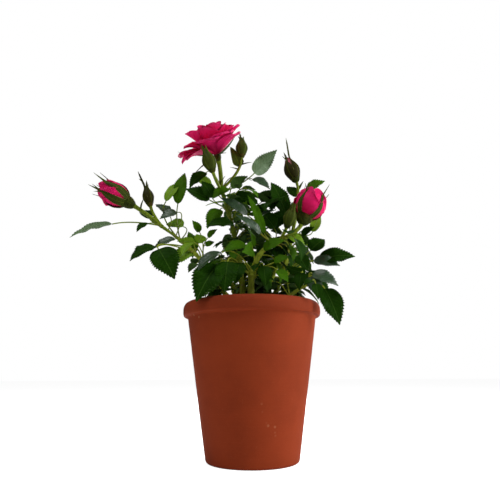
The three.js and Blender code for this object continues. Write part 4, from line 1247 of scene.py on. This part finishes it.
def leaflet_rings(blade, tone, teeth, thickness, phase, ripple):
    """A leaflet: across its midrib's arc the blade is folded up to both edges, swells a little
    between rib and edge, ripples along the edge, and is cut into teeth that point forward."""
    k = np.arange(teeth)[:, None]
    t = ((k + np.array([0.0, 0.66])) / teeth).ravel()[1:]
    tooth = np.tile([-1.0, 1.0], teeth)[1:]
    t = 0.012 + 0.976 * t
    strength = np.clip((t - 0.1) / 0.15, 0, 1) * np.clip((0.99 - t) / 0.06, 0, 1)
    across, level, rows = both_faces(5)
    half = half_width(blade, t) * (1 - 0.42 * np.clip((t - 0.55) / 0.45, 0, 1) ** 1.4)
    edge = np.abs(across)[None] ** 4
    cut = 1 + (0.075 * tooth * strength)[:, None] * edge
    side = np.cross(blade["face"], blade["along"])
    fold = BLADE_FOLD * (1 - 0.3 * t)[:, None] * half[:, None] * np.abs(across)
    swell = 0.09 * half[:, None] * (1 - across ** 2) * np.abs(across) * 2.6
    wave = ripple * blade["length"] * np.sin(2 * np.pi * 2.6 * t + phase)[:, None] \
        * across ** 2
    wave = wave + 0.5 * ripple * blade["length"] * np.sin(
        2 * np.pi * 3.7 * t + 2 * phase)[:, None] * across ** 3
    lift = fold + swell + wave * np.sin(np.pi * t)[:, None] + 0.5 * thickness * level
    ahead = (0.018 * blade["length"] * tooth * strength)[:, None] * edge
    rings = midrib(blade, t)[:, None] + (across * half[:, None] * cut)[..., None] * side \
        + lift[..., None] * blade["face"] + ahead[..., None] * blade["along"]
    return rings, blade_places(t, across, half), tile_of(rows, TONES.index(tone))


def foliage_piece(name, plant, colours):
    """All leaflets of one shoot, each in the colour dealt to its spray."""
    numbers = Numbers(4000 + len(name) * 37)
    skin = Skin(tiles=(4, 2))
    for leaf in grown_leaves():
        if leaf["shoot"] != name:
            continue
        slot = TONES.index(leaf["tone"])
        for blade in leaf["kept"]:
            length = blade["length"]
            teeth = plant.teeth if length > 25 else 11 if length > 16 else 8
            rings, places, tile = leaflet_rings(
                blade, leaf["tone"], teeth, max(plant.leaf_thickness / MM, length / 90),
                6.28 * numbers.next(), numbers.between((0.008, 0.022)))
            skin.add(rings, midrib(blade, np.array(0.0)), midrib(blade, np.array(1.0)), slot,
                     places, tile)
    under, vein, bright = (tuple(colour) for colour in (
        colours.leaf_under, colours.vein, colours.leaf_backlit_glow))
    grey, pale = tuple(colours.leaf_grey), tuple(colours.leaf_pale)
    piece = skin.build(f"foliage_{name}", [
        finish_named("Leaf_dark", leaf_finish, tuple(colours.leaf_dark), under, vein, 0.5, 0.025),
        finish_named("Leaf_mid", leaf_finish, tuple(colours.leaf_mid), under, vein, 0.5, 0.025),
        # The bright leaves are a painted backlit glow, so both faces take the same bright colour.
        finish_named("Leaf_backlit_glow", leaf_finish, bright, bright,
                     tuple(0.6 * part + 0.4 * 0.5 for part in bright), 0.5, 0.08),
        # The grey leaves' greyed colour is partly painted sheen, on top of their real gloss.
        finish_named("Leaf_grey", leaf_finish, grey, pale, vein, 0.32, 0.4)], 60)
    return shown(piece, "leaf", f"leaves_{name}")


# ---- Flowers, each drawn about its own axis from the foot of its hip ----

def placed(flower, points):
    """Points drawn about +Z, turned to the flower's own axis and moved to its foot."""
    axis = Vector(heading(flower["azimuth"], flower["rise"]))
    turn = np.array(Vector((0, 0, 1)).rotation_difference(axis).to_matrix())
    return points @ turn.T + np.array(flower["base"], float)


def bud_radius(share, width):
    """The radius of a half-open bud's petals at a share of its length."""
    return np.interp(share, BUD_PETALS[:, 0], BUD_PETALS[:, 1]) * width


def hip_rings(flower):
    """A hip: its profile for the kind of flower, with rounded corners, spun about the axis."""
    length, width = flower["length"], flower["width"]
    if flower["kind"] == "open":
        profile = [(1.2, 0), (1.9, 0.6), (2.8, 2.4), (3.4, 4.4), (3.6, 6.2), (3.3, 7.6), (3, 8.6)]
    elif flower["kind"] == "half_open":
        top = 0.2 * length
        profile = [(0.07 * width, 0), (0.12 * width, 0.08 * top), (0.19 * width, 0.3 * top),
                   (0.245 * width, 0.6 * top), (0.28 * width, 0.95 * top),
                   (0.28 * width, 1.25 * top), (0.15 * width, 1.5 * top)]
    else:
        profile = [(0.11, 0), (0.19, 0.03), (0.27, 0.09), (0.31, 0.15), (0.32, 0.2),
                   (0.37, 0.27)]
        profile = [(r * width, h * length) for r, h in profile]
    return spun(rounded(profile, 0.6, 3), 14)


def sepal_rings(flower, index, azimuth, numbers):
    """A sepal as a ring over its outer face and back inside. It hugs the bud up to its widest
    part and above, then leaves it as a thin tail; half its width is an angle round the bud."""
    length, width = flower["length"], flower["width"]
    closed = flower["kind"] == "closed"
    s = np.linspace(0, 1, 20)
    across, level, rows = both_faces(7)
    if closed:
        reach = (1.56 if index == flower["tail"] else numbers.between((0.92, 1.16))) * length
        height = (0.16 + (reach / length - 0.16) * s) * length
        profile = np.interp(height / length, [0.16, 0.3, 0.42, 0.55, 0.66, 0.78, 0.88, 1, 1.4],
                            [0.3, 0.42, 0.5, 0.48, 0.4, 0.27, 0.18, 0.14, 0.16]) * width
        spread = np.interp(height / length, [0.16, 0.4, 0.6, 0.8, 0.9, 1.4],
                           [40, 41, 38, 20, 12, 4])
        half = np.radians(spread) * np.maximum(profile, 0.14 * width)
        half = np.minimum(half, np.interp(s, [0, 0.55, 0.8, 0.92, 1], [9, 9, 1.5, 1.1, 0.15]))
        half = np.maximum(half, np.interp(s, [0, 0.6, 0.9, 1], [0, 1.4, 1.0, 0.1]))
        away = np.clip(height / length - 0.85, 0, 1) * length * numbers.between((0.1, 0.4))
        away = away + numbers.spread(0.4) * np.clip(s - 0.7, 0, 1)
    else:
        reach = numbers.between((0.98, 1.2)) * length
        height = (0.17 + (reach / length - 0.17) * s) * length
        hug = np.minimum(height / length, 0.82)
        profile = np.maximum(bud_radius(hug, width) + 0.9, 0.2 * width)
        away = np.clip(height / length - 0.8, 0, 1) * length * numbers.between((0.0, 0.3))
        half = np.interp(s, [0, 0.12, 0.3, 0.55, 0.75, 0.9, 1],
                         [0.24, 0.3, 0.3, 0.2, 0.09, 0.045, 0.01]) * width * flower["cover"]
    radius = profile + away
    angle = np.degrees(half / np.maximum(radius, 0.6))[:, None] * across
    thick = np.interp(s, [0, 0.7, 1], [0.42, 0.34, 0.14])[:, None] * level
    rings = heading(azimuth + angle, 0) * (radius[:, None] + thick)[..., None]
    rings[..., 2] = height[:, None] - 0.05 * width * np.abs(across) ** 2
    slot = int(flower.get("tail", -1) >= 0)
    return rings, blade_places(s, across, half), tile_of(rows, slot), slot


def tail_rings(base, along, face, length, width, bend):
    """A thin pointed strap, widest near its foot, that arches away from its upper face."""
    s = np.linspace(0.01, 0.99, 9)
    across, level, rows = both_faces(5)
    half = 0.5 * width * (1 - s) ** 0.7 * np.minimum(1, 0.35 + s * 4)
    blade = dict(base=base, along=along, face=face, length=length)
    side = np.cross(face, along)
    lift = 0.18 * half[:, None] * np.abs(across) + 0.16 * level
    rings = midrib(blade, s, bend)[:, None] + (across * half[:, None])[..., None] * side \
        + lift[..., None] * face
    start, end = (midrib(blade, np.array(t), bend) for t in (0.0, 1.0))
    return rings, start, end, blade_places(s, across, half), tile_of(rows)


def add_tail(skin, flower, *shape):
    """A strap drawn about the flower's own axis."""
    rings, start, end, places, tile = tail_rings(*shape)
    skin.add(placed(flower, rings), placed(flower, start), placed(flower, end), 0, places, tile)


def sepal_piece(colours):
    """Sepals: on buds they hug the petals and end in lobed tails, under the open rose they stand
    out as a ragged collar."""
    numbers = Numbers(2203)
    skin = Skin(tiles=(2, 2))
    up = np.array([0, 0, 1.0])
    for azimuth, tilt, length in SPREAD_SEPALS:
        along = heading(azimuth, 90 - tilt)
        base = np.array([0, 0, 6.4]) + heading(azimuth, 0) * 2.4
        add_tail(skin, FLOWERS[-1], base, along, facing(along, up), length, 6.4,
                 -8 if tilt < 90 else 6)
        for side in (1, -1):
            lobe = heading(azimuth + side * 34, 86 - tilt)
            add_tail(skin, FLOWERS[-1], base + along * length * 0.4, lobe, facing(lobe, up), 5,
                     1.3, 10)
    for name, at, azimuth, rise, length, width in BRACTS:
        flower = next(one for one in FLOWERS if one["name"] == name)
        along = heading(azimuth, rise)
        rings, start, end, places, tile = tail_rings(
            bent(flower_stalk(flower, soil_level()), at), along,
            facing(along, np.array([0, -1, 0.4])), length, width, 10)
        skin.add(rings, start, end, 0, places, tile)
    for flower in FLOWERS[:-1]:
        length = flower["length"]
        for index in range(5):
            azimuth = 72 * index + 20 + numbers.spread(6)
            rings, places, tile, slot = sepal_rings(flower, index, azimuth, numbers)
            skin.add(placed(flower, rings), None, None, slot, places, tile)
            for side in (1, -1) if index % 2 else ():
                row = rings[int(numbers.between((9, 15)))]
                foot = row[3]
                out = unit(foot * (1, 1, 0))
                lobe = unit(turned(out * 0.5 + up, out, side * numbers.between((18, 34))))
                add_tail(skin, flower, foot, lobe, facing(lobe, -out),
                         numbers.between((0.12, 0.22)) * length, 1.5, 12)
    green, deep, red = colours.sepal, colours.sepal_deep, colours.sepal_red
    piece = skin.build("sepals", [
        finish_named("Sepal", sepal_finish, green, deep, colours),
        finish_named("Sepal_dark", sepal_finish, deep, red, colours)], 60)
    return shown(piece, "leaf", *[f"leaves_{flower['shoot']}" for flower in FLOWERS])


def hip_piece(colours):
    """Hips, and the closed buds' bodies under their sepals: profiles spun about the flower."""
    skin = Skin()
    for flower in FLOWERS:
        skin.add(placed(flower, hip_rings(flower)))
        if flower["kind"] == "closed":
            body = [(0.3, 0.18), (0.4, 0.3), (0.46, 0.42), (0.43, 0.58), (0.33, 0.72),
                    (0.2, 0.84), (0.07, 0.94)]
            rings = spun([(r * flower["width"], h * flower["length"]) for r, h in body], 16)
            skin.add(placed(flower, rings), slot=1 if flower["name"] == "high_bud" else 0)
    piece = skin.build("hips", [
        finish_named("Bud_green", bud_finish, colours),
        finish_named("Bud_heart", heart_finish, colours)], 60)
    return shown(piece, "leaf", *[f"leaves_{flower['shoot']}" for flower in FLOWERS])


def heart_finish(name, colours):
    f = Finish(name)
    streak = f.noise(f.stretched(f.place(), (400, 400, 60)), 1, 3, 0.6)
    colour = f.mix(streak.ramp(0.3, 0.7), colours.sepal_deep, colours.petal_deep)
    return f.finish(Base_Color=colour, Roughness=0.5 + streak * 0.1)


def petal_rings(azimuth, tilt, curl, length, numbers, thickness):
    """An open petal: narrow at its foot, broad and blunt at its rim. Along it the blade turns out
    by its curl and rolls back at the rim, across it both sides cup up, and the rim ripples."""
    s = np.linspace(0.02, 1, 22)
    t = np.clip(1 - (1 - s) ** 1.7, 0, 0.9985)
    fine = np.linspace(0, 1, 200)
    angle = np.radians(curl * (2 * fine - 0.8) - 14 * np.sin(np.pi * fine)
                       + numbers.between((0, 22)) * fine ** 7)
    steps = np.stack([np.cos(angle), np.sin(angle)]) / 199
    ahead, down = (np.interp(t, fine, np.concatenate([[0], np.cumsum(step[1:])]))
                   for step in steps)
    along = heading(azimuth, 90 - tilt)
    face = facing(along, np.array([0, 0, 1.0]))
    side = np.cross(face, along)
    base = np.array([0, 0, PETAL_FOOT]) + heading(azimuth, 0) * (2.2 + 0.6 * (tilt < 45))
    across, level, rows = both_faces(15)
    half = 0.5 * PETAL_WIDTH * length * np.sin(0.5 * np.pi * np.clip(t / 0.62, 0, 1)) ** 0.8 \
        * np.sqrt(1 - np.clip((t - 0.55) / 0.45, 0, 1) ** 3)
    rim = t[:, None] ** 4
    phase = 6.28 * numbers.next()
    ripple = 0.03 * length * np.sin(2.2 * np.pi * across + phase) * rim \
        + 0.006 * length * np.sin(5.3 * np.pi * across + 2 * phase) * rim
    cup = 0.36 * half[:, None] * across ** 2 * (1 - 0.35 * rim)
    roll = -0.14 * half[:, None] * np.abs(across) ** 6 * t[:, None] ** 2
    lift = cup + roll + ripple + 0.5 * thickness * level
    middle = base + length * (ahead[:, None] * along - down[:, None] * face)
    rings = middle[:, None] + (across * half[:, None])[..., None] * side \
        + lift[..., None] * face
    return rings, blade_places(t, across, half), tile_of(rows)


def bloom_piece(plant, colours):
    """The open rose: its spread petals, and a heart of petals wound ever closer."""
    flower = FLOWERS[-1]
    thickness = plant.petal_thickness / MM
    numbers = Numbers(97)
    skin = Skin(tiles=(1, 2))
    for azimuth, tilt, curl, length in SPREAD_PETALS:
        rings, places, tile = petal_rings(azimuth, tilt, curl, length, numbers, thickness)
        skin.add(placed(flower, rings), None, None, 0, places, tile)
    for turn, (count, half_angle, rim, reach) in enumerate(HEART_RINGS):
        for index in range(count):
            azimuth = 360 * index / count + 40 * turn + numbers.spread(8)
            share = np.linspace(0, 1, 12)
            radius = 2.2 + (reach - 2.2) * share ** 0.75
            rings, places, tile = wound_petal(
                (PETAL_FOOT + 0.5 + (rim - PETAL_FOOT - 0.5) * share, radius), azimuth,
                half_angle, rim + numbers.spread(0.8), 0.1 * rim, 1.5, 1.3, thickness)
            skin.add(placed(flower, rings), None, None, 0, places, tile)
    piece = skin.build("rose_petals", [
        finish_named("Rose_petal", petal_finish, colours, 0.75)], 70)
    return shown(piece, "petal", "bloom_petals")


def wound_petal(profile, azimuth, half_angle, top, drop, lean, flare, thickness):
    """A petal wound round the axis: a band of a spun profile, given as heights and radii, from its
    foot to an arched rim that is `drop` lower at its sides. One side lies over the neighbour and
    the other under it, by `lean`, and the rim turns out by `flare`."""
    across, level, rows = both_faces(13)
    s = np.linspace(0, 1, 20)[:, None]
    foot = profile[0][0]
    height = foot + (top - drop * np.abs(across) ** 2.2 - foot) * s
    radius = np.interp(height, profile[0], profile[1])
    out = radius + lean * across * np.clip(s * 3, 0, 1) + flare * s ** 9
    out = out + 0.5 * thickness * level * np.interp(s, [0, 0.94, 1], [1, 1, 0.25])
    angle = half_angle * across * np.interp(s, [0, 0.2, 0.8, 1], [0.75, 1, 0.95, 0.62])
    rings = heading(azimuth + angle, 0) * out[..., None]
    rings[..., 2] = height
    places = np.stack([np.broadcast_to(s, angle.shape),
                       np.broadcast_to(0.5 + 0.5 * across, angle.shape)], -1)
    return rings, places, tile_of(1 - rows)


def bud_petal_piece(flower, plant, colours):
    """A half-open bud: three turns of petals wound round each other over a solid heart."""
    thickness = plant.petal_thickness / MM
    length, width = flower["length"], flower["width"]
    numbers = Numbers(300 + int(width))
    skin = Skin(tiles=(1, 2))
    for layer, count, reach, half_angle in ((0, 3, 0.92, 68), (1, 3, 0.97, 70), (2, 3, 1.0, 66)):
        profile = (BUD_PETALS[:, 0] * length, BUD_PETALS[:, 1] * width * (1 - 0.1 * layer))
        for index in range(count):
            azimuth = 360 * index / count + 47 * layer + numbers.spread(8)
            rings, places, tile = wound_petal(
                profile, azimuth, half_angle, (reach + numbers.spread(0.03)) * length,
                (0.3 - 0.06 * layer) * length, 0.055 * width,
                0.06 * width * (1.8 - layer * 0.5), thickness)
            skin.add(placed(flower, rings), None, None, 0, places, tile)
    core = BUD_PETALS[:, ::-1] * np.array([width * 0.72, length * 0.94])
    rings = spun(core, 20)
    angle = np.linspace(0, 1, 20, endpoint=False)
    places = np.stack([np.full((len(core), 20), 0.2),
                       np.broadcast_to(np.abs(angle * 2 - 1), (len(core), 20))], -1)
    places[..., 0] = np.linspace(0.1, 0.5, len(core))[:, None]
    skin.add(placed(flower, rings), None, None, 0, places, np.zeros((20, 2)))
    piece = skin.build(f"{flower['name']}_wound_petals", [
        finish_named("Bud_petal", petal_finish, colours, 0.35)], 70)
    return shown(piece, "petal", f"{flower['name']}_petals")


# ---- Stage ----

def add_lamp(name, place, toward, size, power):
    """A round soft lamp that looks at a point."""
    data = bpy.data.lights.new(name, "AREA")
    data.shape = "DISK"
    data.size = size
    data.energy = power
    lamp = bpy.data.objects.new(name, data)
    bpy.context.scene.collection.objects.link(lamp)
    lamp.location = place
    lamp.rotation_euler = (Vector(toward) - Vector(place)).to_track_quat("-Z", "Y").to_euler()


def floor_piece(colours):
    """The studio floor: a wide flat slab with its top where the pot stands."""
    corners = FLOOR_REACH * np.array([(-1, -1), (1, -1), (1, 1), (-1, 1)], float)
    skin = Skin()
    skin.add(np.stack([np.column_stack([corners, np.full(4, float(level))])
                       for level in (-FLOOR_THICK, 0)]))
    floor = skin.build("studio_floor", [floor_finish("Studio_floor", colours)])


def add_surround():
    """A white surround that shows bright and lights softly."""
    world = bpy.data.worlds.new("Studio")
    bpy.context.scene.world = world
    world.use_nodes = True
    nodes, links = world.node_tree.nodes, world.node_tree.links
    background = nodes["Background"]
    background.inputs["Color"].default_value = (1, 1, 1, 1)
    seen = nodes.new("ShaderNodeLightPath")
    strength = nodes.new("ShaderNodeMix")
    strength.data_type = "FLOAT"
    strength.inputs[2].default_value = SURROUND_LIGHT
    strength.inputs[3].default_value = SURROUND_SEEN
    links.new(seen.outputs["Is Camera Ray"], strength.inputs[0])
    links.new(strength.outputs[0], background.inputs["Strength"])


def add_camera():
    """The camera, low in front of the pot and tilted up at the plant."""
    data = bpy.data.cameras.new("Camera")
    data.lens = CAMERA_LENS
    data.sensor_width = CAMERA_SENSOR
    camera = bpy.data.objects.new("Camera", data)
    bpy.context.scene.collection.objects.link(camera)
    camera.location = CAMERA_PLACE
    camera.rotation_euler = (math.radians(90 + CAMERA_RISE), math.radians(CAMERA_ROLL), 0)
    bpy.context.scene.camera = camera


# ---- Operators ----

class ROSE_OT_pot(bpy.types.Operator):
    """Throw the clay pot with its rim band and drain holes"""
    bl_idname = "rose.pot"
    bl_label = "Pot"

    def execute(self, context):
        pot, _, colours = settings()
        pot_piece(pot, colours)
        return {"FINISHED"}


class ROSE_OT_compost(bpy.types.Operator):
    """Fill the pot with compost, crumbs and bark chips"""
    bl_idname = "rose.compost"
    bl_label = "Compost"

    def execute(self, context):
        pot, _, colours = settings()
        compost_piece(pot, colours)
        crumb_piece(pot, colours)
        return {"FINISHED"}


class ROSE_OT_canes(bpy.types.Operator):
    """Grow the canes, twigs and prickles"""
    bl_idname = "rose.canes"
    bl_label = "Canes"

    def execute(self, context):
        _, plant, colours = settings()
        cane_piece(plant, colours)
        twig_piece(plant, colours)
        prickle_piece(colours)
        return {"FINISHED"}


class ROSE_OT_foliage(bpy.types.Operator):
    """Grow the leaves of every shoot"""
    bl_idname = "rose.foliage"
    bl_label = "Leaves"

    def execute(self, context):
        _, plant, colours = settings()
        for name in SHOOTS:
            foliage_piece(name, plant, colours)
        return {"FINISHED"}


class ROSE_OT_buds(bpy.types.Operator):
    """Set the hips, the sepals and the wound petals of the buds"""
    bl_idname = "rose.buds"
    bl_label = "Buds"

    def execute(self, context):
        _, plant, colours = settings()
        hip_piece(colours)
        sepal_piece(colours)
        for flower in FLOWERS:
            if flower["kind"] == "half_open":
                bud_petal_piece(flower, plant, colours)
        return {"FINISHED"}


class ROSE_OT_bloom(bpy.types.Operator):
    """Open the rose, ring of petals by ring"""
    bl_idname = "rose.bloom"
    bl_label = "Open rose"

    def execute(self, context):
        _, plant, colours = settings()
        bloom_piece(plant, colours)
        return {"FINISHED"}


class ROSE_OT_stage(bpy.types.Operator):
    """Lay the floor and set the lamps and the camera"""
    bl_idname = "rose.stage"
    bl_label = "Stage"

    def execute(self, context):
        floor_piece(settings()[2])
        add_surround()
        for lamp in LAMPS:
            add_lamp(*lamp)
        add_camera()
        context.scene.view_settings.view_transform = "Standard"
        return {"FINISHED"}


class ROSE_PT_panel(bpy.types.Panel):
    """Lists the pieces of the rose bush and its sizes"""
    bl_idname = "ROSE_PT_panel"
    bl_label = "Rose Bush"
    bl_space_type = "VIEW_3D"
    bl_region_type = "UI"
    bl_category = "Rose Bush"

    def draw(self, context):
        for operator in OPERATORS:
            self.layout.operator(operator.bl_idname)
        for group in (context.scene.rose_pot, context.scene.rose_plant,
                      context.scene.rose_colours):
            box = self.layout.box()
            for key in group.__annotations__:
                box.prop(group, key)


OPERATORS = (ROSE_OT_pot, ROSE_OT_compost, ROSE_OT_canes, ROSE_OT_foliage, ROSE_OT_buds,
             ROSE_OT_bloom, ROSE_OT_stage)
GROUPS = {"rose_pot": RosePotSizes, "rose_plant": RosePlantSizes, "rose_colours": RoseColours}


def register():
    for group in GROUPS.values():
        bpy.utils.register_class(group)
    for operator in (*OPERATORS, ROSE_PT_panel):
        bpy.utils.register_class(operator)
    for name, group in GROUPS.items():
        setattr(bpy.types.Scene, name, bpy.props.PointerProperty(type=group))


def unregister():
    for name in GROUPS:
        delattr(bpy.types.Scene, name)
    for operator in (ROSE_PT_panel, *reversed(OPERATORS)):
        bpy.utils.unregister_class(operator)
    for group in GROUPS.values():
        bpy.utils.unregister_class(group)


def main():
    register()
    bpy.ops.rose.pot()
    bpy.ops.rose.compost()
    bpy.ops.rose.canes()
    bpy.ops.rose.foliage()
    bpy.ops.rose.buds()
    bpy.ops.rose.bloom()
    bpy.ops.rose.stage()


if __name__ == "__main__":
    main()
